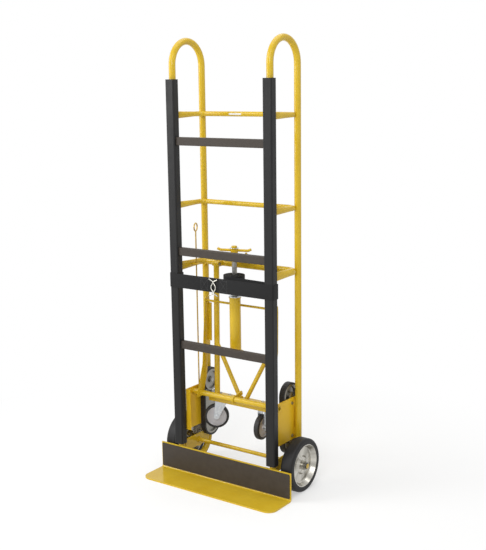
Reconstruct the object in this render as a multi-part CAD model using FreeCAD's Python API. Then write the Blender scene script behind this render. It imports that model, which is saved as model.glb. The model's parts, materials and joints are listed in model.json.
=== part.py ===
import FreeCAD, Part
import math
import os

V = FreeCAD.Vector
X_DIR = V(1, 0, 0)
Y_DIR = V(0, 1, 0)
Z_DIR = V(0, 0, 1)
FULL_TURN = 360
HEX_SIDES = 6

# Common clearances
overrun = 5.0
weld_gap = 0.05
fit_gap = 0.1
run_gap = 0.05
free_gap = 0.3
tiny = 0.001

# Side frames: one bent tube per side is rail, handle loop, upright and heel
overall_height = 1676.0
rail_half = 216.0
rail_depth = 176.0
tube_radius = 12.7
tube_wall = 2.0
heel_bend = 88.0
heel_height = 22.0

# Black covers on the front rails
sleeve_half = 19.0
sleeve_front = 21.0
sleeve_rear = 11.0
sleeve_round = 5.0
sleeve_gap = 9.0
sleeve_drop = 151.0
sleeve_slot_half = 7.0

# Front crossbars and their pads
upper_crossbar_height = 1300.0
middle_crossbar_height = 886.0
lower_crossbar_height = 522.0
crossbar_tall = 25.4
crossbar_thick = 6.4
crossbar_rear = 2.4
pad_tall = 30.5
pad_front = 13.0
pad_lip = 2.5
pad_round = 3.0

# Rear bars: bent tubes whose front ends are pressed flat
upper_bar_height = 1395.0
middle_bar_height = 1059.0
lower_bar_height = 824.5
slim_bar_radius = 9.5
lower_bar_radius = 12.7
rear_bar_wall = 1.8
rear_bar_bend = 28.0
rear_bar_stub = 10.0
flat_half = 4.0
flat_tall_share = 1.4

# Toe plate and its pad
toe_width = 609.6
toe_depth = 128.5
toe_thick = 6.0
toe_corner = 36.0
toe_bend = 6.0
back_thick = 4.5
back_top = 110.0
toe_pad_thick = 3.0
toe_pad_inset = 4.0
toe_pad_round = 4.0

# Axle and main wheels
wheel_clear = 9.95
wheel_radius = 101.6
axle_radius = 7.9
wheel_offset = 56.0
tyre_half = 25.0
tyre_shoulder = 10.0
rim_radius = 80.5
rim_half = 24.0
rim_lip = 3.5
disc_thick = 4.0
disc_set = 6.5
disc_outer = 67.0
disc_inner = 36.0
boss_half = 15.0
boss_radius = 29.0
hub_radius = 22.0
hub_neck = 17.0
hub_inboard = 32.0
hub_outboard = 27.0
washer_thick = 1.5
washer_radius = 15.0
cap_radius = 11.0
cap_round = 3.0

# Axle brackets
bracket_inset = 11.0
bracket_thick = 6.0
bracket_top = 128.0
bracket_drop = 21.6
bracket_boss = 26.0
bracket_boss_length = 5.0

# Side plates
plate_thick = 3.0
plate_front = 16.0
plate_over = 4.0
plate_low = 170.0
plate_high = 336.0
plate_flange = 22.0
plate_round = 4.0
plate_bolt_setback = 25.0
plate_bolt_inset = 16.0
plate_bolt_drop = 21.0
bolt_radius = 4.0
bolt_head_radius = 6.5
bolt_head_tall = 3.5

# Stair climbers: endless belts round two pulleys on a cast runner
climber_setback = 24.0
climber_low = 163.0
climber_high = 344.0
climber_radius = 50.0
climber_belt_thick = 7.0
climber_belt_width = 21.0
climber_gap = 2.25
pulley_inset = 0.5
pulley_rim = 8.0
pulley_web = 7.0
pulley_hub_radius = 13.0
climber_axle_radius = 5.0
cheek_thick = 1.6
cheek_half = 15.0
runner_gap = 4.0
runner_half = 36.0
climber_head_tall = 2.0
climber_head_radius = 9.0

# Load belt tightener
spindle_depth_share = 0.4176
spindle_radius = 9.5
spindle_rise = 18.0
spindle_seat = 12.0
spindle_slot = 3.0
spindle_slot_over = 4.0
tightener_drop = 20.0
tightener_thick = 5.0
tightener_half = 45.0
tightener_up = 16.0
tightener_down = 52.0
ratchet_teeth = 12
ratchet_tip = 26.0
ratchet_root = 21.0
ratchet_gap = 2.0
ratchet_thick = 8.0
pawl_pivot_x = 33.0
pawl_pivot_y = 30.0
pawl_eye = 7.5
pawl_pin_radius = 4.0
pawl_thick = 7.0
pawl_reach = 5.0
pawl_play = 1.8
tee_hub_radius = 14.0
tee_gap = 3.0
tee_hub_tall = 19.0
tee_arm = 66.0
tee_tip = 12.0
tee_tip_rise = 5.0
tee_arm_radius = 5.0
tee_bar_rise = 12.0
tee_bend = 12.0
tee_angle = 17.0
housing_radius = 21.5
housing_wall = 2.0
housing_drop = 14.0
housing_clear = 35.0
housing_cap = 4.0
spring_outer = 18.0
spring_inner = 13.0
spring_end_gap = 0.3
housing_bracket_thick = 4.0
housing_bracket_half = 26.0
housing_bracket_up = 22.0

# Load belt
belt_width = 54.0
belt_thick = 2.0
belt_drop = 90.0
belt_round = 6.0
roll_turns = 11
roll_gap = 0.6
belt_end_x = -24.0
belt_end_gap = 4.0
hook_wire = 2.5
hook_width = 26.0
hook_tall = 46.0
hook_low_shift = 8.0
hook_tail = 17.0
hook_tail_rise = 8.0
hook_bend = 7.0

# Latch shaft, hook and release rod
latch_depth_share = 0.3386
latch_rise = 17.7
latch_radius = 10.5
latch_wall = 2.5
latch_over = 3.75
latch_open = 20.0
hook_thick = 5.0
hook_drop = 6.0
hook_half = 11.0
hook_toe = 9.0
keeper_setback = 10.6
keeper_radius = 4.0
keeper_play = 0.6
crank_reach = 24.0
crank_half = 8.0
crank_thick = 4.0
crank_inset = 21.25
release_offset = 10.0
release_radius = 2.6
release_rise = 128.5
release_bend = 7.0
release_play = 0.6
ring_radius = 15.0
ring_turn = 15.0
guide_thick = 3.0
guide_half = 9.0

# Bail behind the belt roll
bail_gap = 14.0
bail_thick = 3.0
bail_flange = 15.0
bail_height = 362.0
bail_lean = 48.0
bail_rod_radius = 4.5
bail_round = 8.0
bail_front_shares = ((-0.55, -0.04), (0.3, 0.31), (0.72, 0.95), (0.75, 1.04))
bail_back_shares = ((1.27, 1.04), (1.31, 0.97), (1.25, 0.55), (0.8, 0.17), (0.25, -0.04))

# Swing-out caster frame
leg_x = 126.0
leg_radius = 11.0
leg_wall = 2.0
ear_reach = 30.5
leg_pin_radius = 4.0
ear_thick = 3.5
ear_half = 10.0
strut_radius = 8.5
strut_top = 512.0
strut_foot = 12.0
channel_setback = 57.0
channel_top = 300.0
channel_half_width = 30.0
channel_half_length = 146.0
channel_thick = 4.0
channel_flange = 19.0
keeper_plate = 4.0
keeper_plate_half = 8.0

# Casters
caster_x = 101.0
caster_plate_half = 25.0
caster_plate_length_half = 31.0
caster_plate_thick = 5.0
caster_bolt_share = 0.72
caster_bolt_radius = 3.5
caster_bolt_head = 6.0
caster_bolt_tall = 4.5
caster_trail = 24.0
caster_radius = 49.0
caster_half = 11.0
caster_drop = 79.0
caster_round = 6.0
caster_hub_radius = 39.0
caster_hub_half = 9.5
caster_hub_recess = 3.0
caster_hub_rim = 5.0
caster_boss = 11.0
caster_axle_radius = 4.0
caster_nut_radius = 6.4
fork_thick = 2.5
fork_gap = 2.0
fork_crown_radius = 24.0
fork_crown_thick = 5.0
fork_race_radius = 20.0
fork_eye = 11.0
fork_front_share = 1.2
fork_back_share = 0.85
king_radius = 6.0
king_foot_radius = 9.0
caster_angles = {"left": -54.4, "right": 4.0}


def rear_bar_run(radius):
    """Where the bend of the bar just touches the front of the upright."""
    touch = rear_bar_bend + radius + tube_radius + weld_gap
    return rail_depth + rear_bar_bend - math.sqrt(touch ** 2 - rear_bar_bend ** 2)


# Worked-out places
back_rear = -tube_radius - weld_gap
back_front = back_rear - back_thick
toe_front = back_front - toe_depth
axle_y = back_rear + wheel_radius + wheel_clear
wheel_x = rail_half + wheel_offset
climber_y = rail_depth - climber_setback
depth_centre = (toe_front + max(climber_y + climber_radius, axle_y + wheel_radius)) / 2
to_origin = V(0, -depth_centre, 0)
tube_top = overall_height - tube_radius
sleeve_bottom = back_top + sleeve_gap
sleeve_top = overall_height - sleeve_drop
crossbar_heights = {"upper": upper_crossbar_height, "middle": middle_crossbar_height,
                    "lower": lower_crossbar_height}
rear_bars = {"upper": (upper_bar_height, slim_bar_radius), "middle": (middle_bar_height, slim_bar_radius),
             "lower": (lower_bar_height, lower_bar_radius)}
bracket_inner = rail_half - bracket_inset
bracket_bottom = wheel_radius - bracket_drop
plate_outer = rail_half - tube_radius - weld_gap
plate_inner = plate_outer - plate_thick
plate_rear = rail_depth + plate_over
plate_bolt_y = rail_depth - plate_bolt_setback
plate_bolt_heights = (plate_low + plate_bolt_inset, plate_high - plate_bolt_drop)
climber_heights = {"lower": climber_low, "upper": climber_high}
climber_belt_outer = plate_inner - climber_gap
climber_belt_inner = climber_belt_outer - climber_belt_width
spindle_y = rail_depth * spindle_depth_share
tightener_low = middle_crossbar_height - tightener_drop
tightener_top = tightener_low + tightener_thick
ratchet_low = tightener_top + ratchet_gap
spindle_top = tightener_top + spindle_rise
tee_hub_low = ratchet_low + ratchet_thick + tee_gap
tee_height = tee_hub_low + tee_bar_rise
belt_low = tightener_low - belt_drop - belt_width / 2
belt_centre = belt_low + belt_width / 2
belt_front = -sleeve_front - free_gap - belt_thick / 2
housing_low = lower_crossbar_height - housing_drop
housing_high = belt_low - housing_clear
spindle_bottom = housing_low + spindle_seat
spindle_slot_low = belt_low - spindle_slot_over
spindle_slot_high = belt_low + belt_width + spindle_slot_over
roll_pitch = belt_thick + roll_gap
roll_start = spindle_radius + free_gap + roll_pitch / 4
roll_radius = roll_start + roll_pitch * roll_turns + belt_thick
latch_y = rail_depth * latch_depth_share
latch_z = channel_top + latch_rise
latch_end = plate_outer + latch_over
crank_x = plate_inner - crank_inset
release_x = crank_x + release_offset
release_top = lower_bar_height + release_rise
bail_x = climber_belt_inner - bail_gap
leg_pivot_y = rear_bar_run(lower_bar_radius) - ear_reach
leg_pivot_z = lower_bar_height
channel_y = rail_depth - channel_setback
channel_low = channel_top - channel_thick
leg_lean = (leg_pivot_y - channel_y) / (leg_pivot_z - channel_top)
keeper_y = channel_y - channel_half_width + keeper_setback
keeper_z = latch_z - hook_drop
caster_height = channel_low - caster_drop


def box(x0, x1, y0, y1, z0, z1):
    return Part.makeBox(x1 - x0, y1 - y0, z1 - z0, V(x0, y0, z0))


def rod(start, end, radius):
    return Part.makeCylinder(radius, (end - start).Length, start, end - start)


def pipe(start, end, outer, inner):
    return rod(start, end, outer).cut(rod(start, end, inner))


def along_x(x0, x1, y, z, radius):
    return rod(V(x0, y, z), V(x1, y, z), radius)


def upright(x, y, z0, z1, radius):
    return rod(V(x, y, z0), V(x, y, z1), radius)


def hex_head(start, end, radius):
    """A six-sided bolt head or nut, round its own axis."""
    axis = end - start
    across = axis.cross(Z_DIR) if axis.cross(Z_DIR).Length > tiny else axis.cross(X_DIR)
    spoke = across.normalize() * radius
    turn = FreeCAD.Rotation(axis, FULL_TURN / HEX_SIDES)
    corners = [start + spoke]
    for _ in range(HEX_SIDES - 1):
        spoke = turn.multVec(spoke)
        corners.append(start + spoke)
    return Part.Face(Part.makePolygon(corners + corners[:1])).extrude(axis)


def hex_along_x(x0, x1, y, z, radius):
    return hex_head(V(x0, y, z), V(x1, y, z), radius)


def mirrored(shape):
    return shape.mirror(V(0, 0, 0), X_DIR)


def rounded(points, radii, closed=False):
    """Straight runs through the points, each corner turned by a tangent arc."""
    count = len(points)
    arcs = []
    ends = []
    for i, point in enumerate(points):
        open_end = not closed and i in (0, count - 1)
        if open_end or radii[i] == 0:
            arcs.append(None)
            ends.append((point, point))
            continue
        back = (points[i - 1] - point).normalize()
        ahead = (points[(i + 1) % count] - point).normalize()
        half = back.getAngle(ahead) / 2
        start = point + back * (radii[i] / math.tan(half))
        end = point + ahead * (radii[i] / math.tan(half))
        inward = (back + ahead).normalize()
        middle = point + inward * (radii[i] / math.sin(half) - radii[i])
        arcs.append(Part.Arc(start, middle, end).toShape())
        ends.append((start, end))
    edges = []
    for i in range(count if closed else count - 1):
        if arcs[i]:
            edges.append(arcs[i])
        start = ends[i][1]
        end = ends[(i + 1) % count][0]
        if (end - start).Length > tiny:
            edges.append(Part.makeLine(start, end))
    return Part.Wire(edges)


def bent_rod(points, radii, radius):
    section = Part.Wire([Part.makeCircle(radius, points[0], points[1] - points[0])])
    return rounded(points, radii).makePipeShell([section], True, False)


def bent_tube(points, radii, radius, wall):
    return bent_rod(points, radii, radius).cut(bent_rod(points, radii, radius - wall))


def plate_x(outline, radii, x0, x1):
    """A plate square to X: outline holds (y, z) corners."""
    wire = rounded([V(x0, y, z) for y, z in outline], radii, True)
    return Part.Face(wire).extrude(V(x1 - x0, 0, 0))


def plate_z(outline, radii, z0, z1):
    """A plate square to Z: outline holds (x, y) corners."""
    wire = rounded([V(x, y, z0) for x, y in outline], radii, True)
    return Part.Face(wire).extrude(V(0, 0, z1 - z0))


def turned_x(profile, radii, x, y, z):
    """A body of revolution about X: profile holds (x, radius) corners."""
    wire = rounded([V(x + along, y + out, z) for along, out in profile], radii, True)
    return Part.Face(wire).revolve(V(x, y, z), X_DIR, FULL_TURN)


def side_tube():
    foot = heel_height + tube_radius + weld_gap
    points = [V(rail_half, 0, foot), V(rail_half, 0, tube_top), V(rail_half, rail_depth, tube_top),
              V(rail_half, rail_depth, heel_height), V(rail_half, back_rear, heel_height)]
    loop = rail_depth / 2
    return bent_tube(points, [0, loop, loop, heel_bend, 0], tube_radius, tube_wall)


def rail_sleeve():
    inner = rail_half - sleeve_half
    outer = rail_half + sleeve_half
    corners = [(inner, -sleeve_front), (outer, -sleeve_front), (outer, sleeve_rear), (inner, sleeve_rear)]
    sleeve = plate_z(corners, [sleeve_round] * len(corners), sleeve_bottom, sleeve_top)
    sleeve = sleeve.cut(upright(rail_half, 0, sleeve_bottom, sleeve_top, tube_radius + fit_gap))
    sleeve = sleeve.cut(box(rail_half - sleeve_slot_half, rail_half + sleeve_slot_half, 0,
                            sleeve_rear + overrun, sleeve_bottom, sleeve_top))
    for height in crossbar_heights.values():
        reach = crossbar_tall / 2 + fit_gap
        sleeve = sleeve.cut(box(inner - overrun, rail_half, crossbar_rear - crossbar_thick - fit_gap,
                                crossbar_rear + fit_gap, height - reach, height + reach))
    return sleeve


def crossbar(height):
    end = rail_half - tube_radius - weld_gap
    return box(-end, end, crossbar_rear - crossbar_thick, crossbar_rear,
               height - crossbar_tall / 2, height + crossbar_tall / 2)


def crossbar_pad(height):
    end = rail_half - sleeve_half - fit_gap
    half = pad_tall / 2
    rear = crossbar_rear + pad_lip
    corners = [(-pad_front, height - half), (-pad_front, height + half),
               (rear, height + half), (rear, height - half)]
    pad = plate_x(corners, [pad_round, pad_round, 0, 0], -end, end)
    core = crossbar_tall / 2 + fit_gap
    lip = crossbar_tall / 2 - pad_lip
    pad = pad.cut(box(-end - overrun, end + overrun, crossbar_rear - crossbar_thick - fit_gap,
                      crossbar_rear + fit_gap, height - core, height + core))
    return pad.cut(box(-end - overrun, end + overrun, crossbar_rear, rear + overrun,
                       height - lip, height + lip))


def flattened_end(radius, thin, tall, height, start):
    """The tube end pressed from a circle into a tall oval at the rail."""
    turn = FreeCAD.Rotation(Z_DIR, X_DIR, Y_DIR, "XYZ")
    circle = Part.Wire([Part.makeCircle(radius)])
    oval = Part.Wire([Part.Ellipse(V(0, 0, 0), tall, thin).toShape()])
    circle.Placement = FreeCAD.Placement(V(rail_half, start, height), turn)
    oval.Placement = FreeCAD.Placement(V(rail_half, tube_radius + weld_gap, height), turn)
    return Part.makeLoft([circle, oval], True, True)


def rear_bar(height, radius):
    run = rear_bar_run(radius)
    start = run - rear_bar_bend - rear_bar_stub
    points = [V(-rail_half, start, height), V(-rail_half, run, height),
              V(rail_half, run, height), V(rail_half, start, height)]
    tall = radius * flat_tall_share
    bar = bent_tube(points, [0, rear_bar_bend, rear_bar_bend, 0], radius, rear_bar_wall)
    end = flattened_end(radius, flat_half, tall, height, start)
    end = end.cut(flattened_end(radius - rear_bar_wall, flat_half - rear_bar_wall,
                                tall - rear_bar_wall, height, start))
    return bar.fuse([end, mirrored(end)]).removeSplitter()


def hinge_ears():
    """Two ears on the front of the lower rear bar for each caster leg."""
    height, radius = rear_bars["lower"]
    run = rear_bar_run(radius)
    ears = []
    for side in (-1, 1):
        for inner in (-leg_radius - free_gap - ear_thick, leg_radius + free_gap):
            x = side * leg_x + inner
            corners = [(leg_pivot_y - ear_half, leg_pivot_z - ear_half), (run, leg_pivot_z - ear_half),
                       (run, leg_pivot_z + ear_half), (leg_pivot_y - ear_half, leg_pivot_z + ear_half)]
            ear = plate_x(corners, [ear_half - tiny, 0, 0, ear_half - tiny], x, x + ear_thick)
            ear = ear.cut(along_x(x - overrun, x + ear_thick + overrun, leg_pivot_y, leg_pivot_z,
                                  leg_pin_radius + fit_gap))
            ears.append(ear.cut(along_x(x - overrun, x + ear_thick + overrun, run, height, radius - tiny)))
    return ears


def lower_rear_bar():
    height, radius = rear_bars["lower"]
    return rear_bar(height, radius).fuse(hinge_ears())


def leg_hinge_pins():
    half = leg_radius + free_gap + ear_thick
    pins = []
    for side in (-1, 1):
        x = side * leg_x
        pin = along_x(x - half, x + half, leg_pivot_y, leg_pivot_z, leg_pin_radius)
        head = hex_along_x(x - half - bolt_head_tall, x - half, leg_pivot_y, leg_pivot_z, bolt_head_radius)
        tail = hex_along_x(x + half, x + half + bolt_head_tall, leg_pivot_y, leg_pivot_z, bolt_head_radius)
        pins.append(pin.fuse([head, tail]))
    return Part.makeCompound(pins)


def toe_plate():
    half = toe_width / 2
    corners = [(toe_front, 0), (back_rear, 0), (back_rear, back_top), (back_front, back_top),
               (back_front, toe_thick), (toe_front, toe_thick)]
    plate = plate_x(corners, [0, toe_bend + back_thick, 0, 0, toe_bend, 0], -half, half)
    plan = [(-half, toe_front), (half, toe_front), (half, back_rear), (-half, back_rear)]
    return plate.common(plate_z(plan, [toe_corner, toe_corner, 0, 0], 0, back_top))


def toe_plate_pad():
    half = toe_width / 2 - toe_pad_inset
    low = toe_thick + toe_bend
    high = back_top - toe_pad_inset
    corners = [V(-half, back_front, low), V(half, back_front, low),
               V(half, back_front, high), V(-half, back_front, high)]
    face = Part.Face(rounded(corners, [toe_pad_round] * len(corners), True))
    return face.extrude(V(0, -toe_pad_thick, 0))


def axle():
    end = wheel_x + hub_outboard + free_gap + washer_thick + cap_round
    return along_x(-end, end, axle_y, wheel_radius, axle_radius)


def axle_bracket():
    outer = bracket_inner + bracket_thick
    # The rear edge follows the inside of the heel bend
    chord = math.sqrt(tube_radius ** 2 - (rail_half - outer) ** 2)
    reach = heel_bend - chord - free_gap
    bend_y = rail_depth - heel_bend
    bend_z = heel_height + heel_bend
    drop = bend_z - bracket_bottom
    rear_low = bend_y + math.sqrt(reach ** 2 - drop ** 2)
    front = chord + free_gap
    mid = math.atan2(-drop, rear_low - bend_y) / 2
    arc = Part.Arc(V(bracket_inner, bend_y + reach, bend_z),
                   V(bracket_inner, bend_y + reach * math.cos(mid), bend_z + reach * math.sin(mid)),
                   V(bracket_inner, rear_low, bracket_bottom)).toShape()
    corners = [V(bracket_inner, rear_low, bracket_bottom), V(bracket_inner, front, bracket_bottom),
               V(bracket_inner, front, bracket_top), V(bracket_inner, bend_y + reach, bracket_top),
               V(bracket_inner, bend_y + reach, bend_z)]
    edges = [arc] + [Part.makeLine(corners[i], corners[i + 1]) for i in range(len(corners) - 1)]
    plate = Part.Face(Part.Wire(edges)).extrude(V(bracket_thick, 0, 0))
    boss = along_x(bracket_inner - bracket_boss_length, outer, axle_y, wheel_radius, bracket_boss / 2)
    lug = along_x(bracket_inner, outer, axle_y, wheel_radius, bracket_boss)
    hole = along_x(bracket_inner - overrun - bracket_boss_length, outer + overrun, axle_y, wheel_radius,
                   axle_radius + fit_gap)
    return plate.fuse([lug, boss]).removeSplitter().cut(hole)


def axle_fasteners():
    hub_in = wheel_x - hub_inboard - free_gap
    hub_out = wheel_x + hub_outboard + free_gap
    bore = axle_radius + fit_gap
    pieces = [pipe(V(bracket_inner + bracket_thick, axle_y, wheel_radius), V(hub_in, axle_y, wheel_radius),
                   axle_radius + washer_thick * 2, bore),
              pipe(V(hub_out, axle_y, wheel_radius), V(hub_out + washer_thick, axle_y, wheel_radius),
                   washer_radius, bore)]
    cap_low = hub_out + washer_thick
    profile = [(0, 0), (0, cap_radius), (cap_round + washer_thick, cap_radius), (cap_round + washer_thick, 0)]
    cap = turned_x(profile, [0, 0, cap_round, 0], cap_low, axle_y, wheel_radius)
    pieces.append(cap.cut(along_x(cap_low - overrun, cap_low + cap_round, axle_y, wheel_radius, bore)))
    return Part.makeCompound(pieces + [mirrored(piece) for piece in pieces])


def main_tyre():
    bore = rim_radius + fit_gap
    profile = [(-tyre_half, bore), (-tyre_half, wheel_radius), (tyre_half, wheel_radius), (tyre_half, bore)]
    return turned_x(profile, [0, tyre_shoulder, tyre_shoulder, 0], wheel_x, axle_y, wheel_radius)


def main_rim():
    bore = hub_radius + run_gap
    inside = rim_radius - rim_lip
    back = disc_set - disc_thick
    profile = [(rim_half, rim_radius), (rim_half, inside), (disc_set, disc_outer), (disc_set, disc_inner),
               (boss_half, boss_radius), (boss_half, bore), (-boss_half, bore), (-boss_half, boss_radius),
               (back, disc_inner), (back, disc_outer + disc_thick), (-rim_half, inside),
               (-rim_half, rim_radius)]
    rounds = [0, 0, disc_thick, disc_thick, 0, 0, 0, 0, 0, 0, 0, 0]
    return turned_x(profile, rounds, wheel_x, axle_y, wheel_radius)


def main_hub():
    bore = axle_radius + run_gap
    profile = [(-hub_inboard, bore), (-hub_inboard, hub_neck), (-boss_half, hub_neck),
               (-boss_half, hub_radius), (boss_half, hub_radius), (boss_half, hub_neck),
               (hub_outboard, hub_neck), (hub_outboard, bore)]
    return turned_x(profile, [0] * len(profile), wheel_x, axle_y, wheel_radius)


def side_plate():
    corners = [(plate_front, plate_low), (plate_rear, plate_low), (plate_rear, plate_high),
               (plate_front, plate_high)]
    web = plate_x(corners, [0, plate_round, plate_round, 0], plate_inner, plate_outer)
    flange = box(plate_outer - plate_flange, plate_outer, plate_front, plate_front + plate_thick,
                 plate_low, plate_high)
    plate = web.fuse(flange).removeSplitter()
    plate = plate.cut(along_x(plate_inner - overrun, plate_outer + overrun, latch_y, latch_z,
                              latch_radius + run_gap))
    for height in plate_bolt_heights:
        plate = plate.cut(along_x(plate_inner - overrun, plate_outer + overrun, plate_bolt_y, height,
                                  bolt_radius + fit_gap))
    return plate


def stadium(radius, x0, x1):
    """The outline round both pulleys, as a solid."""
    low = climber_heights["lower"]
    high = climber_heights["upper"]
    ends = [along_x(x0, x1, climber_y, height, radius) for height in (low, high)]
    middle = box(x0, x1, climber_y - radius, climber_y + radius, low, high)
    return middle.fuse(ends).removeSplitter()


def climber_belt():
    inner = climber_radius - climber_belt_thick
    loop = stadium(climber_radius, climber_belt_inner, climber_belt_outer)
    return loop.cut(stadium(inner, climber_belt_inner - overrun, climber_belt_outer + overrun))


def climber_pulley(height):
    half = climber_belt_width / 2 - pulley_inset
    middle = climber_belt_inner + climber_belt_width / 2
    radius = climber_radius - climber_belt_thick - free_gap
    web = pulley_web / 2
    bore = climber_axle_radius + run_gap
    profile = [(-half, bore), (-half, pulley_hub_radius), (-web, pulley_hub_radius),
               (-web, radius - pulley_rim), (-half, radius - pulley_rim), (-half, radius), (half, radius),
               (half, radius - pulley_rim), (web, radius - pulley_rim), (web, pulley_hub_radius),
               (half, pulley_hub_radius), (half, bore)]
    return turned_x(profile, [0] * len(profile), middle, climber_y, height)


def climber_runner():
    low = climber_heights["lower"]
    high = climber_heights["upper"]
    inner = climber_radius - climber_belt_thick - free_gap
    cheek_in = plate_inner - weld_gap - cheek_thick
    cheek = plate_x([(climber_y - cheek_half, low - cheek_half), (climber_y + cheek_half, low - cheek_half),
                     (climber_y + cheek_half, high + cheek_half), (climber_y - cheek_half, high + cheek_half)],
                    [cheek_half - tiny] * 4, cheek_in, plate_inner - weld_gap)
    block = box(climber_belt_inner + pulley_inset, cheek_in, climber_y - inner, climber_y + inner,
                (low + high) / 2 - runner_half, (low + high) / 2 + runner_half)
    for height in (low, high):
        block = block.cut(along_x(climber_belt_inner - overrun, climber_belt_outer + overrun, climber_y,
                                  height, climber_radius - climber_belt_thick + runner_gap))
        cheek = cheek.cut(along_x(cheek_in - overrun, plate_inner + overrun, climber_y, height,
                                  climber_axle_radius + fit_gap))
    for height in plate_bolt_heights:
        cheek = cheek.cut(along_x(cheek_in - overrun, plate_inner + overrun, plate_bolt_y, height,
                                  bolt_radius + fit_gap))
    return cheek.fuse(block).removeSplitter()


def climber_bolts():
    bolts = []
    head_x = climber_belt_inner + pulley_inset - free_gap
    for height in climber_heights.values():
        shank = along_x(head_x, plate_inner - weld_gap, climber_y, height, climber_axle_radius)
        head = hex_along_x(head_x - climber_head_tall, head_x, climber_y, height, climber_head_radius)
        bolts.append(shank.fuse(head).removeSplitter())
    for height in plate_bolt_heights:
        end = plate_inner - weld_gap - cheek_thick
        shank = along_x(end, plate_outer, plate_bolt_y, height, bolt_radius)
        head = hex_along_x(plate_outer, plate_outer + bolt_head_tall, plate_bolt_y, height, bolt_head_radius)
        bolts.append(shank.fuse(head).removeSplitter())
    return Part.makeCompound(bolts + [mirrored(bolt) for bolt in bolts])


def tightener_bracket():
    front = crossbar_rear + pad_lip + weld_gap
    rear = rear_bar_run(rear_bars["lower"][1]) - rear_bars["lower"][1] - weld_gap
    flat = box(-tightener_half, tightener_half, front, rear, tightener_low, tightener_top)
    up = box(-tightener_half, tightener_half, front, front + tightener_thick, tightener_low,
             tightener_top + tightener_up)
    down = box(-tightener_half, tightener_half, rear - tightener_thick, rear,
               tightener_top - tightener_down, tightener_top)
    pin = upright(pawl_pivot_x, spindle_y + pawl_pivot_y, tightener_low,
                  ratchet_low + pawl_thick + overrun, pawl_pin_radius)
    bracket = flat.fuse([up, down, pin]).removeSplitter()
    return bracket.cut(upright(0, spindle_y, tightener_low - overrun, tightener_top + overrun,
                               spindle_radius + run_gap))


def spindle():
    shaft = upright(0, spindle_y, spindle_bottom, spindle_top, spindle_radius)
    slot = box(-spindle_radius - overrun, spindle_radius + overrun, spindle_y - spindle_slot / 2,
               spindle_y + spindle_slot / 2, spindle_slot_low, spindle_slot_high)
    return shaft.cut(slot)


def ratchet_wheel():
    points = []
    for i in range(ratchet_teeth):
        angle = 2 * math.pi * i / ratchet_teeth
        for radius in (ratchet_tip, ratchet_root):
            points.append((radius * math.cos(angle), spindle_y + radius * math.sin(angle)))
    wheel = plate_z(points, [0] * len(points), ratchet_low, ratchet_low + ratchet_thick)
    return wheel.cut(upright(0, spindle_y, ratchet_low - overrun, ratchet_low + ratchet_thick + overrun,
                             spindle_radius + run_gap))


def pawl():
    tip_x = ratchet_root + free_gap * 3
    side = pawl_pivot_x - pawl_eye
    outline = [(tip_x, pawl_play), (tip_x + pawl_reach, pawl_play),
               (pawl_pivot_x + pawl_eye, pawl_pivot_y), (side, pawl_pivot_y)]
    arm = plate_z([(x, spindle_y + y) for x, y in outline], [0] * len(outline), ratchet_low,
                  ratchet_low + pawl_thick)
    eye = upright(pawl_pivot_x, spindle_y + pawl_pivot_y, ratchet_low, ratchet_low + pawl_thick, pawl_eye)
    hole = upright(pawl_pivot_x, spindle_y + pawl_pivot_y, ratchet_low - overrun,
                   ratchet_low + pawl_thick + overrun, pawl_pin_radius + run_gap)
    return arm.fuse(eye).removeSplitter().cut(hole)


def tee_handle():
    hub = upright(0, spindle_y, tee_hub_low, tee_hub_low + tee_hub_tall, tee_hub_radius)
    hub = hub.cut(upright(0, spindle_y, tee_hub_low - overrun, spindle_top + run_gap,
                          spindle_radius + run_gap))
    knee = tee_arm - tee_tip
    points = [V(-tee_arm, spindle_y, tee_height + tee_tip_rise), V(-knee, spindle_y, tee_height),
              V(knee, spindle_y, tee_height), V(tee_arm, spindle_y, tee_height + tee_tip_rise)]
    arms = bent_rod(points, [0, tee_bend, tee_bend, 0], tee_arm_radius)
    handle = hub.fuse(arms)
    handle.rotate(V(0, spindle_y, 0), Z_DIR, tee_angle)
    return handle


def spring_housing():
    tube = pipe(V(0, spindle_y, housing_low), V(0, spindle_y, housing_high), housing_radius,
                housing_radius - housing_wall)
    cap = pipe(V(0, spindle_y, housing_high), V(0, spindle_y, housing_high + housing_cap),
               housing_radius + housing_wall, spindle_radius + run_gap)
    return tube.fuse(cap)


def rewind_spring():
    return pipe(V(0, spindle_y, spindle_bottom + spring_end_gap), V(0, spindle_y, housing_high - spring_end_gap),
                spring_outer, spring_inner)


def housing_bracket():
    front = crossbar_rear + pad_lip + weld_gap
    rear = spindle_y + housing_radius + housing_wall
    flat = plate_z([(-housing_bracket_half, front), (housing_bracket_half, front),
                    (housing_bracket_half, rear), (-housing_bracket_half, rear)],
                   [0, 0, housing_bracket_half / 2, housing_bracket_half / 2],
                   housing_low - housing_bracket_thick, housing_low)
    up = box(-housing_bracket_half, housing_bracket_half, front, front + housing_bracket_thick,
             housing_low - housing_bracket_thick, housing_low + housing_bracket_up)
    return flat.fuse(up).removeSplitter()


def band(points, radii):
    """Webbing on edge along a flat path."""
    along = (points[1] - points[0]).normalize()
    across = along.cross(Z_DIR) * (belt_thick / 2)
    start = points[0]
    rise = V(0, 0, belt_width)
    section = Part.makePolygon([start + across, start - across, start - across + rise,
                                start + across + rise, start + across])
    return rounded(points, radii).makePipeShell([section], True, False)


def load_belt():
    outside = rail_half + sleeve_half + free_gap + belt_thick / 2
    behind = tube_radius + free_gap + belt_thick / 2
    tangent = spindle_y - roll_radius - free_gap - belt_thick / 2
    points = [V(0, tangent, belt_low), V(outside, behind, belt_low), V(outside, belt_front, belt_low),
              V(belt_end_x, belt_front, belt_low)]
    return band(points, [0, belt_round, belt_round, 0])


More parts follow.
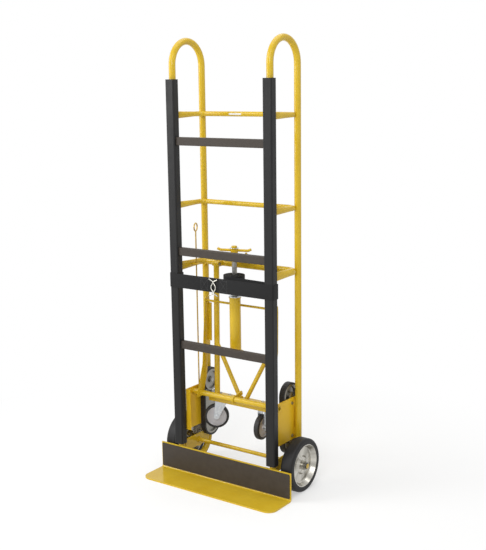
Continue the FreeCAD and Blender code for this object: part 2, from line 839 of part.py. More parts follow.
def belt_anchor_loop():
    outside = rail_half + sleeve_half + free_gap + belt_thick / 2
    inside = rail_half - sleeve_half - free_gap - belt_thick / 2
    behind = tube_radius + free_gap + belt_thick / 2
    points = [V(belt_end_x - belt_end_gap, belt_front, belt_low), V(-outside, belt_front, belt_low),
              V(-outside, behind, belt_low), V(-inside, behind, belt_low),
              V(-inside, belt_front + belt_thick / 2, belt_low)]
    return band(points, [0, belt_round, belt_round, belt_round, 0])


def roll_arc(index, offset):
    """Start, middle and end of one half turn of the roll: centres swap sides."""
    step = roll_pitch / 2
    sign = 1 if index % 2 == 0 else -1
    centre = V(0, spindle_y + sign * step / 2, belt_low)
    radius = roll_start + index * step + offset
    return (centre - V(0, sign * radius, 0), centre + V(sign * radius, 0, 0),
            centre + V(0, sign * radius, 0))


def belt_roll():
    """Webbing wound on the spindle as one unbroken spiral strip."""
    count = 2 * roll_turns
    edges = []
    for offset in (0, belt_thick):
        edges += [Part.Arc(*roll_arc(i, offset)).toShape() for i in range(count)]
    edges.append(Part.makeLine(roll_arc(0, 0)[0], roll_arc(0, belt_thick)[0]))
    edges.append(Part.makeLine(roll_arc(count - 1, 0)[2], roll_arc(count - 1, belt_thick)[2]))
    gaps = [roll_arc(i + 2, 0)[k].distanceToPoint(roll_arc(i, belt_thick)[k])
            for i in range(count - 2) for k in range(3)]
    print("least gap between turns of the belt roll: %.2f mm" % min(gaps))
    wire = Part.Wire(Part.__sortEdges__(edges))
    return Part.Face(wire).extrude(V(0, 0, belt_width))


def hook_half_wire(side):
    """One of the two bent wires that make the hook, each with a prong at both ends."""
    y = belt_front - belt_thick / 2 - hook_wire - free_gap
    middle = belt_end_x - belt_end_gap / 2
    top = belt_centre - hook_low_shift + hook_tall / 2
    low = top - hook_tall
    near = middle - side * hook_wire
    far = middle + side * hook_width / 2
    points = [V(near - side * hook_tail, y, top + hook_tail_rise), V(near, y, top),
              V(far, y, (top + low) / 2), V(near, y, low),
              V(near - side * hook_tail, y, low - hook_tail_rise)]
    return bent_rod(points, [0, hook_bend, hook_bend * 2, hook_bend, 0], hook_wire)


def belt_hook():
    return hook_half_wire(1).fuse(hook_half_wire(-1))


def latch_shaft():
    shaft = pipe(V(-latch_end, latch_y, latch_z), V(latch_end, latch_y, latch_z), latch_radius,
                 latch_radius - latch_wall)
    tail = keeper_y + keeper_radius + hook_toe
    outline = [(latch_y, keeper_z - hook_half), (tail, keeper_z - hook_half / 2),
               (tail, keeper_z + hook_half), (latch_y, latch_z + hook_half)]
    half = hook_thick / 2
    arm = plate_x(outline, [0, keeper_radius, keeper_radius, 0], -half, half)
    eye = along_x(-half, half, latch_y, latch_z, latch_radius + keeper_radius)
    notch = keeper_radius + keeper_play
    dog = arm.fuse(eye).removeSplitter()
    dog = dog.cut(along_x(-hook_thick, hook_thick, keeper_y, keeper_z, notch))
    # The mouth is an arc about the shaft, so the hook can swing off its pin
    swing = math.hypot(keeper_y - latch_y, hook_drop)
    mouth = pipe(V(-hook_thick, latch_y, latch_z), V(hook_thick, latch_y, latch_z),
                 swing + notch, swing - notch)
    below = box(-hook_thick, hook_thick, latch_y, tail + overrun, keeper_z - swing, keeper_z)
    dog = dog.cut(mouth.common(below))
    dog = dog.cut(along_x(-hook_thick, hook_thick, latch_y, latch_z, latch_radius - tiny))
    dog.rotate(V(0, latch_y, latch_z), X_DIR, latch_open)
    crank_y = latch_y + crank_reach
    x0 = -crank_x - crank_thick / 2
    x1 = -crank_x + crank_thick / 2
    crank = plate_x([(latch_y, latch_z - crank_half), (crank_y + crank_half, latch_z - crank_half),
                     (crank_y + crank_half, latch_z + crank_half), (latch_y, latch_z + crank_half)],
                    [0, crank_half - tiny, crank_half - tiny, 0], x0, x1)
    crank = crank.cut(along_x(x0 - overrun, x1 + overrun, crank_y, latch_z, release_radius + release_play))
    crank = crank.cut(along_x(x0 - overrun, x1 + overrun, latch_y, latch_z, latch_radius - tiny))
    crank.rotate(V(0, latch_y, latch_z), X_DIR, latch_open / 2)
    return shaft.fuse([dog, crank])


def release_rod():
    angle = math.radians(latch_open / 2)
    y = latch_y + crank_reach * math.cos(angle)
    low = latch_z + crank_reach * math.sin(angle)
    end = -crank_x + crank_thick
    points = [V(-release_x, y, release_top), V(-release_x, y, low), V(end, y, low)]
    wire = bent_rod(points, [0, release_bend, 0], release_radius)
    centre = V(-release_x, y, release_top + ring_radius)
    facing = V(math.cos(math.radians(ring_turn)), math.sin(math.radians(ring_turn)), 0)
    ring = Part.makeTorus(ring_radius, release_radius, centre, facing)
    return wire.fuse(ring)


def release_rod_guide():
    """A small eye plate on the left leg of the lower rear bar."""
    height, radius = rear_bars["lower"]
    y = latch_y + crank_reach * math.cos(math.radians(latch_open / 2))
    start = rear_bar_run(radius) - rear_bar_bend - rear_bar_stub
    share = (y - guide_half - tube_radius) / (start - tube_radius)
    leg_inner = -rail_half + flat_half + (radius - flat_half) * share
    inner = -release_x + guide_half
    guide = plate_z([(leg_inner, y - guide_half), (inner, y - guide_half), (inner, y + guide_half),
                     (leg_inner, y + guide_half)], [0, guide_half / 2, guide_half / 2, 0],
                    height - guide_thick / 2, height + guide_thick / 2)
    guide = guide.cut(upright(-release_x, y, height - overrun, height + overrun,
                              release_radius + free_gap))
    bar = rear_bar(height, radius)
    return guide.cut(bar)


def bail():
    def place(share):
        return (latch_y + share[0] * bail_lean, latch_z + share[1] * bail_height)

    outline = [place(share) for share in bail_front_shares + bail_back_shares]
    web = plate_x(outline, [bail_round] * len(outline), bail_x - bail_thick, bail_x)
    top = place(bail_back_shares[1])
    low = place(bail_back_shares[2])
    strip = [low, top, (top[0] - bail_thick, top[1]), (low[0] - bail_thick, low[1])]
    flange = plate_x(strip, [0] * len(strip), bail_x - bail_flange, bail_x - bail_thick / 2)
    arm = web.fuse(flange).removeSplitter()
    arm = arm.cut(along_x(bail_x - overrun * 4, bail_x + overrun, latch_y, latch_z, latch_radius + run_gap))
    end = bail_x - bail_thick / 2
    bar = along_x(-end, end, latch_y + bail_lean, latch_z + bail_height, bail_rod_radius)
    return arm.fuse([mirrored(arm), bar])


def leg_y(z):
    return channel_y + (z - channel_top) * leg_lean


def caster_legs():
    """Two tubes with hinge eyes at the top, braced by two struts to the channel."""
    pieces = []
    for side in (-1, 1):
        foot = V(side * leg_x, channel_y, channel_top)
        head = V(side * leg_x, leg_pivot_y, leg_pivot_z)
        tube = pipe(foot - V(0, leg_lean, 1) * overrun, head, leg_radius, leg_radius - leg_wall)
        eye = along_x(side * leg_x - leg_radius, side * leg_x + leg_radius, leg_pivot_y, leg_pivot_z,
                      leg_radius)
        pieces.append(tube.fuse(eye))
        strut_end = V(side * leg_x, leg_y(strut_top), strut_top)
        strut_low = V(side * strut_foot, channel_y, channel_top)
        reach = (strut_end - strut_low).normalize() * overrun
        strut = rod(strut_low - reach * 2, strut_end, strut_radius)
        pieces.append(strut.cut(rod(foot, head, leg_radius - leg_wall)))
    legs = pieces[0].fuse(pieces[1:])
    wide = channel_half_length
    legs = legs.cut(box(-wide, wide, channel_y - wide, channel_y + wide, channel_top - wide, channel_top))
    for side in (-1, 1):
        legs = legs.cut(along_x(side * leg_x - leg_radius - overrun, side * leg_x + leg_radius + overrun,
                                leg_pivot_y, leg_pivot_z, leg_pin_radius + run_gap))
    return legs


def caster_channel():
    front = channel_y - channel_half_width
    rear = channel_y + channel_half_width
    end = channel_half_length
    low = channel_top - channel_flange
    channel = box(-end, end, front, rear, low, channel_top)
    channel = channel.cut(box(-end, end, front + channel_thick, rear - channel_thick, low, channel_low))
    x0 = hook_thick / 2 + fit_gap
    lug = box(x0, x0 + keeper_plate, keeper_y - keeper_plate_half, keeper_y + keeper_plate_half,
              channel_low, keeper_z + keeper_plate_half)
    pin = along_x(-hook_thick / 2, x0 + keeper_plate, keeper_y, keeper_z, keeper_radius)
    channel = channel.fuse([lug, pin]).removeSplitter()
    for side in (-1, 1):
        channel = channel.cut(upright(side * caster_x, channel_y, channel_low - overrun,
                                      channel_top + overrun, king_radius + free_gap))
        for x, y in caster_bolt_places(side):
            channel = channel.cut(upright(x, y, channel_low - overrun, channel_top + overrun,
                                          caster_bolt_radius + fit_gap))
    return channel


def caster_bolt_places(side):
    along = caster_plate_length_half * caster_bolt_share
    across = caster_plate_half * caster_bolt_share
    return [(side * caster_x + sx * along, channel_y + sy * across) for sx in (-1, 1) for sy in (-1, 1)]


def caster_mounts():
    """Top plates under the channel with their bolts and king pins."""
    pieces = []
    low = channel_low - caster_plate_thick
    for side in (-1, 1):
        x = side * caster_x
        plate = box(x - caster_plate_length_half, x + caster_plate_length_half,
                    channel_y - caster_plate_half, channel_y + caster_plate_half, low, channel_low)
        king = upright(x, channel_y, low - fork_crown_thick * 2, channel_low, king_radius)
        foot = upright(x, channel_y, low - fork_crown_thick * 2 - caster_bolt_tall - free_gap,
                       low - fork_crown_thick * 2 - free_gap, king_foot_radius)
        stem = upright(x, channel_y, low - fork_crown_thick * 2 - free_gap, low, king_radius)
        for bx, by in caster_bolt_places(side):
            plate = plate.cut(upright(bx, by, low - overrun, channel_low + overrun,
                                      caster_bolt_radius + fit_gap))
            bolt = upright(bx, by, low, channel_top, caster_bolt_radius)
            head = hex_head(V(bx, by, channel_top), V(bx, by, channel_top + caster_bolt_tall), caster_bolt_head)
            pieces.append(bolt.fuse(head).removeSplitter())
        pieces.append(plate.fuse([king, stem, foot]).removeSplitter())
    return Part.makeCompound(pieces)


def turned_to_rest(shape, side):
    shape.rotate(V(0, channel_y, 0), Z_DIR, caster_angles[side])
    shape.translate(V(caster_x if side == "right" else -caster_x, 0, 0))
    return shape


def caster_fork(side):
    top = channel_low - caster_plate_thick - free_gap
    crown_low = top - fork_crown_thick * 2
    wheel_y = channel_y - caster_trail
    crown = upright(0, channel_y, crown_low, crown_low + fork_crown_thick, fork_crown_radius)
    race = upright(0, channel_y, crown_low, top, fork_race_radius)
    leg_in = caster_half + fork_gap
    front = channel_y - fork_crown_radius * fork_front_share
    back = channel_y + fork_crown_radius * fork_back_share
    outline = [(front, crown_low), (wheel_y - fork_eye, caster_height),
               (wheel_y - fork_eye, caster_height - fork_eye), (wheel_y + fork_eye, caster_height - fork_eye),
               (wheel_y + fork_eye, caster_height), (back, crown_low)]
    leg = plate_x(outline, [0, 0, fork_eye - tiny, fork_eye - tiny, 0, 0], leg_in, leg_in + fork_thick)
    fork = crown.fuse([race, leg, mirrored(leg)]).removeSplitter()
    fork = fork.cut(upright(0, channel_y, crown_low - overrun, top + overrun, king_radius + run_gap))
    half = leg_in + fork_thick
    fork = fork.cut(along_x(-half - overrun, half + overrun, wheel_y, caster_height,
                            caster_axle_radius + fit_gap))
    bolt = along_x(-half, half, wheel_y, caster_height, caster_axle_radius)
    head = hex_along_x(half, half + fork_thick, wheel_y, caster_height, caster_nut_radius)
    nut = hex_along_x(-half - fork_thick, -half, wheel_y, caster_height, caster_nut_radius)
    return turned_to_rest(Part.makeCompound([fork, bolt.fuse([head, nut]).removeSplitter()]), side)


def caster_tyre(side):
    bore = caster_hub_radius + fit_gap
    profile = [(-caster_half, bore), (-caster_half, caster_radius), (caster_half, caster_radius),
               (caster_half, bore)]
    tyre = turned_x(profile, [0, caster_round, caster_round, 0], 0, channel_y - caster_trail, caster_height)
    return turned_to_rest(tyre, side)


def caster_hub(side):
    bore = caster_axle_radius + run_gap
    rim = caster_hub_radius - caster_hub_rim
    web = caster_hub_half - caster_hub_recess
    half = caster_half + fork_gap - free_gap
    profile = [(-half, bore), (-half, caster_boss), (-web, caster_boss), (-web, rim),
               (-caster_hub_half, rim), (-caster_hub_half, caster_hub_radius),
               (caster_hub_half, caster_hub_radius), (caster_hub_half, rim), (web, rim), (web, caster_boss),
               (half, caster_boss), (half, bore)]
    hub = turned_x(profile, [0] * len(profile), 0, channel_y - caster_trail, caster_height)
    return turned_to_rest(hub, side)


def build():
    nodes = {"toe_plate": toe_plate(), "toe_plate_pad": toe_plate_pad(), "axle": axle(),
             "axle_fasteners": axle_fasteners(), "climber_bolts": climber_bolts(),
             "crossbar_pads": Part.makeCompound([crossbar_pad(z) for z in crossbar_heights.values()]),
             "tightener_bracket": tightener_bracket(), "spindle": spindle(),
             "ratchet_wheel": ratchet_wheel(), "pawl": pawl(), "tee_handle": tee_handle(),
             "spring_housing": spring_housing(), "rewind_spring": rewind_spring(),
             "housing_bracket": housing_bracket(), "load_belt": load_belt(),
             "belt_anchor_loop": belt_anchor_loop(), "belt_roll": belt_roll(), "belt_hook": belt_hook(),
             "latch_shaft": latch_shaft(), "release_rod": release_rod(),
             "release_rod_guide": release_rod_guide(), "bail": bail(), "leg_hinge_pins": leg_hinge_pins(),
             "caster_legs": caster_legs(), "caster_channel": caster_channel(),
             "caster_mounts": caster_mounts(), "lower_rear_bar": lower_rear_bar()}
    for name, height in crossbar_heights.items():
        nodes[name + "_crossbar"] = crossbar(height)
    for name in ("upper", "middle"):
        nodes[name + "_rear_bar"] = rear_bar(*rear_bars[name])
    right_pieces = {"side_tube": side_tube(), "rail_sleeve": rail_sleeve(), "axle_bracket": axle_bracket(),
                    "tyre": main_tyre(), "rim": main_rim(), "hub": main_hub(), "side_plate": side_plate(),
                    "climber_belt": climber_belt(), "climber_runner": climber_runner()}
    for name, height in climber_heights.items():
        right_pieces["climber_%s_pulley" % name] = climber_pulley(height)
    for name, shape in right_pieces.items():
        nodes["right_" + name] = shape
        nodes["left_" + name] = mirrored(shape)
    for side in caster_angles:
        nodes[side + "_caster_fork"] = caster_fork(side)
        nodes[side + "_caster_tyre"] = caster_tyre(side)
        nodes[side + "_caster_hub"] = caster_hub(side)
    return nodes


os.makedirs("parts", exist_ok=True)
for node, shape in build().items():
    shape.translate(to_origin)
    shape.exportStep("parts/%s.step" % node)
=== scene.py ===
import json
import math

import bmesh
import bpy
from mathutils import Matrix, Vector


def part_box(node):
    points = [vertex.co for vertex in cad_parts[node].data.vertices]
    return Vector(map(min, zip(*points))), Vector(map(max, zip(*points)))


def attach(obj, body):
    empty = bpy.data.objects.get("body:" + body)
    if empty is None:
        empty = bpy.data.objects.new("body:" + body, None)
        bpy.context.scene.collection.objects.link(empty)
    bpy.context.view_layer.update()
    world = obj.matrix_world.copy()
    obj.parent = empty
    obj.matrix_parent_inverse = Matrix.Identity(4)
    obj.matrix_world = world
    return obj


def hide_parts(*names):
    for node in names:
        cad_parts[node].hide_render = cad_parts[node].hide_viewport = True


MM = 0.001
HAIR = 1e-6
FACING = 0.9

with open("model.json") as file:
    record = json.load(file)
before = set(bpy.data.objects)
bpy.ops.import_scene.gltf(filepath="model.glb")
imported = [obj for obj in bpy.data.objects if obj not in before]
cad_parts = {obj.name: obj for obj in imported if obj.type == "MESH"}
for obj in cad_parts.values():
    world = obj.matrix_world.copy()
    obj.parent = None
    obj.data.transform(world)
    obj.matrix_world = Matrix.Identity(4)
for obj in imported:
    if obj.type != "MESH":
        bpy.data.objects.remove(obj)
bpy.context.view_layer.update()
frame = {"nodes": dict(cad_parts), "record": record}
nodes = frame["nodes"]


# Small tools

def linear(hex_colour):
    """An sRGB hex colour as linear RGBA."""
    channels = []
    for i in (1, 3, 5):
        c = int(hex_colour[i:i + 2], 16) / 255
        channels.append(c / 12.92 if c <= 0.04045 else ((c + 0.055) / 1.055) ** 2.4)
    return (*channels, 1.0)


def add_node(tree, kind, settings=None, values=None, links=None, stops=(), feeds=None):
    """A node with its settings, its socket values, the sockets that feed it, the stops of its colour ramp
    and the sockets that it feeds."""
    node = tree.nodes.new(kind)
    for name, value in (settings or {}).items():
        setattr(node, name, value)
    for name, value in (values or {}).items():
        node.inputs[name].default_value = value
    for name, source in (links or {}).items():
        tree.links.new(source, node.inputs[name])
    for i, (position, colour) in enumerate(stops):
        node.color_ramp.elements[i].position = position
        node.color_ramp.elements[i].color = linear(colour)
    for name, socket in (feeds or {}).items():
        tree.links.new(node.outputs[name], socket)
    return node


def deselect():
    """Leaves edit mode and selects nothing."""
    if bpy.context.object and bpy.context.object.mode != "OBJECT":
        bpy.ops.object.mode_set(mode="OBJECT")
    bpy.ops.object.select_all(action="DESELECT")


def begin(name, add, **settings):
    """Adds a primitive and opens it in edit mode with nothing selected."""
    deselect()
    add(**settings)
    piece = bpy.context.object
    piece.name = name
    piece.data.name = name
    bpy.ops.object.mode_set(mode="EDIT")
    bpy.ops.mesh.select_all(action="DESELECT")
    return piece


def pick(piece, mode, test):
    """Selects the vertices, edges or faces whose centre and normal pass the test."""
    bpy.ops.mesh.select_mode(type=mode)
    bpy.ops.mesh.select_all(action="DESELECT")
    mesh = bmesh.from_edit_mesh(piece.data)
    for item in {"VERT": mesh.verts, "EDGE": mesh.edges, "FACE": mesh.faces}[mode]:
        if mode == "VERT":
            chosen = test(item.co, item.normal)
        elif mode == "EDGE":
            chosen = test((item.verts[0].co + item.verts[1].co) / 2, item.verts[1].co - item.verts[0].co)
        else:
            chosen = test(item.calc_center_median(), item.normal)
        if chosen:
            item.select_set(True)
    bmesh.update_edit_mesh(piece.data)


def finish_with(piece, kind, **settings):
    """Adds a modifier and applies it."""
    deselect()
    piece.select_set(True)
    bpy.context.view_layer.objects.active = piece
    modifier = piece.modifiers.new(kind.title(), kind)
    for name, value in settings.items():
        setattr(modifier, name, value)
    bpy.ops.object.modifier_apply(modifier=modifier.name)


def joined(name, pieces):
    """The pieces as one object."""
    deselect()
    for piece in pieces:
        piece.select_set(True)
    bpy.context.view_layer.objects.active = pieces[0]
    if len(pieces) > 1:
        bpy.ops.object.join()
    pieces[0].name = name
    pieces[0].data.name = name
    return pieces[0]


def settle(piece, material, body, smooth_deg=40, stands_for=()):
    """Puts the piece's place into its mesh, finishes it and lets it ride on its body."""
    deselect()
    piece.select_set(True)
    bpy.context.view_layer.objects.active = piece
    bpy.ops.object.transform_apply(location=True, rotation=True, scale=True)
    bpy.ops.object.shade_smooth_by_angle(angle=math.radians(smooth_deg))
    piece.data.materials.clear()
    piece.data.materials.append(material)
    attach(piece, body)
    if stands_for:
        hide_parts(*stands_for)


# Finishes

TINT_LOW = 0.35
TINT_HIGH = 0.65
WEAR_LOW = 0.3
WEAR_HIGH = 0.7
# Wave bands repeat 20 times in 2 pi at a scale of 1
WAVES_IN_TURN = 20


def per_mm(size_mm):
    """The noise scale whose features are about size_mm wide."""
    return 1 / (size_mm * MM)


def bands_per_mm(size_mm):
    """The wave scale whose bands are size_mm apart."""
    return 2 * math.pi / WAVES_IN_TURN / (size_mm * MM)


def new_material(name):
    """A material with its node tree, its shader and its texture coordinates."""
    material = bpy.data.materials.new(name)
    material.use_nodes = True
    tree = material.node_tree
    place = add_node(tree, "ShaderNodeTexCoord")
    return material, tree, tree.nodes["Principled BSDF"], place


AXLE_PLACE = Vector((0, 70.675, 101.6)) * MM


def about_the_axle(tree, place):
    """Object coordinates moved and turned so that their Z runs along the main axle."""
    centred = add_node(tree, "ShaderNodeVectorMath", {"operation": "SUBTRACT"}, {1: AXLE_PLACE},
                       {0: place.outputs["Object"]})
    turned = add_node(tree, "ShaderNodeMapping", None, {"Rotation": (0, math.pi / 2, 0)},
                      {"Vector": centred.outputs["Vector"]})
    return turned.outputs["Vector"]


def axle_radius(tree, place):
    """Distance from the main axle's line, in metres."""
    across = add_node(tree, "ShaderNodeVectorMath", {"operation": "MULTIPLY"}, {1: (1, 1, 0)},
                      {0: about_the_axle(tree, place)})
    return add_node(tree, "ShaderNodeVectorMath", {"operation": "LENGTH"}, None,
                    {0: across.outputs["Vector"]}).outputs["Value"]


def axle_rings(tree, place, ring_mm):
    """A ripple round the main axle, one ring every ring_mm."""
    turns = add_node(tree, "ShaderNodeMath", {"operation": "MULTIPLY"}, {1: 2 * math.pi * per_mm(ring_mm)},
                     {0: axle_radius(tree, place)})
    return add_node(tree, "ShaderNodeMath", {"operation": "SINE"}, None,
                    {0: turns.outputs["Value"]}).outputs["Value"]


def powder_coat(name, dark, light, smooth, rough, ior):
    # Polyester powder coat on steel: an even yellow with a wet gloss, a faint orange peel and duller
    # handling marks
    cloud_mm = 110
    mark_mm = 60
    peel_mm = 3.0
    peel_deep_mm = 0.005
    material, tree, shader, place = new_material(name)
    cloud = add_node(tree, "ShaderNodeTexNoise", None,
                     {"Scale": per_mm(cloud_mm), "Detail": 4.0, "Roughness": 0.55},
                     {"Vector": place.outputs["Object"]})
    add_node(tree, "ShaderNodeValToRGB", None, None, {"Fac": cloud.outputs["Fac"]},
             ((TINT_LOW, dark), (TINT_HIGH, light)), {"Color": shader.inputs["Base Color"]})
    marks = add_node(tree, "ShaderNodeTexNoise", None,
                     {"Scale": per_mm(mark_mm), "Detail": 3.0, "Roughness": 0.55},
                     {"Vector": place.outputs["Object"]})
    add_node(tree, "ShaderNodeMapRange", None,
             {"From Min": WEAR_LOW, "From Max": WEAR_HIGH, "To Min": smooth, "To Max": rough},
             {"Value": marks.outputs["Fac"]}, feeds={"Result": shader.inputs["Roughness"]})
    shader.inputs["IOR"].default_value = ior
    peel = add_node(tree, "ShaderNodeTexNoise", None,
                    {"Scale": per_mm(peel_mm), "Detail": 1.0, "Roughness": 0.55},
                    {"Vector": place.outputs["Object"]})
    add_node(tree, "ShaderNodeBump", None, {"Strength": 1.0, "Distance": peel_deep_mm * MM},
             {"Height": peel.outputs["Fac"]}, feeds={"Normal": shader.inputs["Normal"]})
    return material


def sleeve_vinyl():
    # Extruded soft vinyl: charcoal, satin, with faint die lines along its length
    line_mm = 2.5
    line_deep_mm = 0.08
    scuff_mm = 45
    along_the_rail = (1, 1, 0.01)
    material, tree, shader, place = new_material("black_vinyl_extrusion")
    drawn = add_node(tree, "ShaderNodeMapping", None, {"Scale": along_the_rail},
                     {"Vector": place.outputs["Object"]})
    lines = add_node(tree, "ShaderNodeTexNoise", None,
                     {"Scale": per_mm(line_mm), "Detail": 2.0, "Roughness": 0.5},
                     {"Vector": drawn.outputs["Vector"]})
    add_node(tree, "ShaderNodeValToRGB", None, None, {"Fac": lines.outputs["Fac"]},
             ((TINT_LOW, "#161617"), (TINT_HIGH, "#1D1D1D")), {"Color": shader.inputs["Base Color"]})
    scuffs = add_node(tree, "ShaderNodeTexNoise", None,
                      {"Scale": per_mm(scuff_mm), "Detail": 6.0, "Roughness": 0.7},
                      {"Vector": place.outputs["Object"]})
    add_node(tree, "ShaderNodeMapRange", None,
             {"From Min": WEAR_LOW, "From Max": WEAR_HIGH, "To Min": 0.38, "To Max": 0.56},
             {"Value": scuffs.outputs["Fac"]}, feeds={"Result": shader.inputs["Roughness"]})
    shader.inputs["IOR"].default_value = 1.35
    add_node(tree, "ShaderNodeBump", None, {"Strength": 0.6, "Distance": line_deep_mm * MM},
             {"Height": lines.outputs["Fac"]}, feeds={"Normal": shader.inputs["Normal"]})
    return material


def pad_rubber():
    # Moulded rubber strip: brownish dark grey, dull, mottled with a fine grit
    mottle_mm = 22
    grit_mm = 1.6
    grit_deep_mm = 0.12
    material, tree, shader, place = new_material("moulded_pad_rubber")
    mottle = add_node(tree, "ShaderNodeTexNoise", None,
                      {"Scale": per_mm(mottle_mm), "Detail": 5.0, "Roughness": 0.65},
                      {"Vector": place.outputs["Object"]})
    add_node(tree, "ShaderNodeValToRGB", None, None, {"Fac": mottle.outputs["Fac"]},
             ((0.3, "#332C26"), (0.7, "#3F3831")), {"Color": shader.inputs["Base Color"]})
    add_node(tree, "ShaderNodeMapRange", None,
             {"From Min": WEAR_LOW, "From Max": WEAR_HIGH, "To Min": 0.5, "To Max": 0.68},
             {"Value": mottle.outputs["Fac"]}, feeds={"Result": shader.inputs["Roughness"]})
    shader.inputs["IOR"].default_value = 1.42
    grit = add_node(tree, "ShaderNodeTexNoise", None,
                    {"Scale": per_mm(grit_mm), "Detail": 2.0, "Roughness": 0.55},
                    {"Vector": place.outputs["Object"]})
    add_node(tree, "ShaderNodeBump", None, {"Strength": 0.5, "Distance": grit_deep_mm * MM},
             {"Height": grit.outputs["Fac"]}, feeds={"Normal": shader.inputs["Normal"]})
    return material


def tyre_rubber():
    # Solid moulded rubber: near black and matt, with moulding rings round the wheel and a breath of dust
    dust_mm = 30
    ring_mm = 4.0
    ring_deep_mm = 0.15
    material, tree, shader, place = new_material("solid_tyre_rubber")
    dust = add_node(tree, "ShaderNodeTexNoise", None,
                    {"Scale": per_mm(dust_mm), "Detail": 6.0, "Roughness": 0.7},
                    {"Vector": place.outputs["Object"]})
    add_node(tree, "ShaderNodeValToRGB", None, None, {"Fac": dust.outputs["Fac"]},
             ((TINT_LOW, "#161516"), (TINT_HIGH, "#1F1E1E")), {"Color": shader.inputs["Base Color"]})
    add_node(tree, "ShaderNodeMapRange", None,
             {"From Min": WEAR_LOW, "From Max": WEAR_HIGH, "To Min": 0.45, "To Max": 0.62},
             {"Value": dust.outputs["Fac"]}, feeds={"Result": shader.inputs["Roughness"]})
    shader.inputs["IOR"].default_value = 1.36
    add_node(tree, "ShaderNodeBump", None, {"Strength": 0.35, "Distance": ring_deep_mm * MM},
             {"Height": axle_rings(tree, place, ring_mm)}, feeds={"Normal": shader.inputs["Normal"]})
    return material


def caster_rubber():
    # Grey-black cushion tread of the small wheels: matt, with fine mould grain
    grain_mm = 2.0
    grain_deep_mm = 0.08
    material, tree, shader, place = new_material("cushion_tread_rubber")
    grain = add_node(tree, "ShaderNodeTexNoise", None,
                     {"Scale": per_mm(grain_mm), "Detail": 3.0, "Roughness": 0.55},
                     {"Vector": place.outputs["Object"]})
    add_node(tree, "ShaderNodeValToRGB", None, None, {"Fac": grain.outputs["Fac"]},
             ((TINT_LOW, "#242324"), (TINT_HIGH, "#2E2D2D")), {"Color": shader.inputs["Base Color"]})
    add_node(tree, "ShaderNodeMapRange", None,
             {"From Min": WEAR_LOW, "From Max": WEAR_HIGH, "To Min": 0.45, "To Max": 0.6},
             {"Value": grain.outputs["Fac"]}, feeds={"Result": shader.inputs["Roughness"]})
    shader.inputs["IOR"].default_value = 1.42
    add_node(tree, "ShaderNodeBump", None, {"Strength": 0.5, "Distance": grain_deep_mm * MM},
             {"Height": grain.outputs["Fac"]}, feeds={"Normal": shader.inputs["Normal"]})
    return material


def climber_rubber():
    # Fabric-backed drive belt rubber: black, ribbed across every 6 mm and dull
    rib_mm = 6.0
    rib_deep_mm = 0.4
    material, tree, shader, place = new_material("stair_belt_rubber")
    ribs = add_node(tree, "ShaderNodeTexWave", {"wave_type": "BANDS", "bands_direction": "Z"},
                    {"Scale": bands_per_mm(rib_mm), "Distortion": 0.0}, {"Vector": place.outputs["Object"]})
    add_node(tree, "ShaderNodeValToRGB", None, None, {"Fac": ribs.outputs["Fac"]},
             ((0.2, "#1C1B1B"), (0.8, "#2A2929")), {"Color": shader.inputs["Base Color"]})
    shader.inputs["Roughness"].default_value = 0.6
    shader.inputs["IOR"].default_value = 1.42
    add_node(tree, "ShaderNodeBump", None, {"Strength": 0.5, "Distance": rib_deep_mm * MM},
             {"Height": ribs.outputs["Fac"]}, feeds={"Normal": shader.inputs["Normal"]})
    return material


def belt_webbing():
    # Woven polyester webbing: black, dull, with ribs across the band drawn 3 mm apart so that they show
    rib_mm = 3.0
    weave_deep_mm = 0.3
    row_share = 0.35
    material, tree, shader, place = new_material("woven_black_webbing")
    ribs = add_node(tree, "ShaderNodeTexWave", {"wave_type": "BANDS", "bands_direction": "X"},
                    {"Scale": bands_per_mm(rib_mm), "Distortion": 0.0}, {"Vector": place.outputs["UV"]})
    rows = add_node(tree, "ShaderNodeTexWave", {"wave_type": "BANDS", "bands_direction": "Y"},
                    {"Scale": bands_per_mm(rib_mm), "Distortion": 0.0}, {"Vector": place.outputs["UV"]})
    weave = add_node(tree, "ShaderNodeMath", {"operation": "MULTIPLY_ADD"}, {1: row_share},
                     {0: rows.outputs["Fac"], 2: ribs.outputs["Fac"]})
    add_node(tree, "ShaderNodeValToRGB", None, None, {"Fac": weave.outputs["Value"]},
             ((0.15, "#131313"), (0.95, "#1F1F20")), {"Color": shader.inputs["Base Color"]})
    shader.inputs["Roughness"].default_value = 0.8
    shader.inputs["Specular IOR Level"].default_value = 0.25
    shader.inputs["Sheen Weight"].default_value = 0.05
    add_node(tree, "ShaderNodeBump", None, {"Strength": 0.6, "Distance": weave_deep_mm * MM},
             {"Height": weave.outputs["Value"]}, feeds={"Normal": shader.inputs["Normal"]})
    return material


def belt_thread():
    # Bonded polyester thread: dark grey, a little lighter and shinier than the webbing
    twist_mm = 0.8
    material, tree, shader, place = new_material("bonded_grey_thread")
    twist = add_node(tree, "ShaderNodeTexNoise", None,
                     {"Scale": per_mm(twist_mm), "Detail": 2.0, "Roughness": 0.55},
                     {"Vector": place.outputs["Object"]})
    add_node(tree, "ShaderNodeValToRGB", None, None, {"Fac": twist.outputs["Fac"]},
             ((TINT_LOW, "#3A3A3A"), (TINT_HIGH, "#4C4C4C")), {"Color": shader.inputs["Base Color"]})
    shader.inputs["Roughness"].default_value = 0.5
    return material


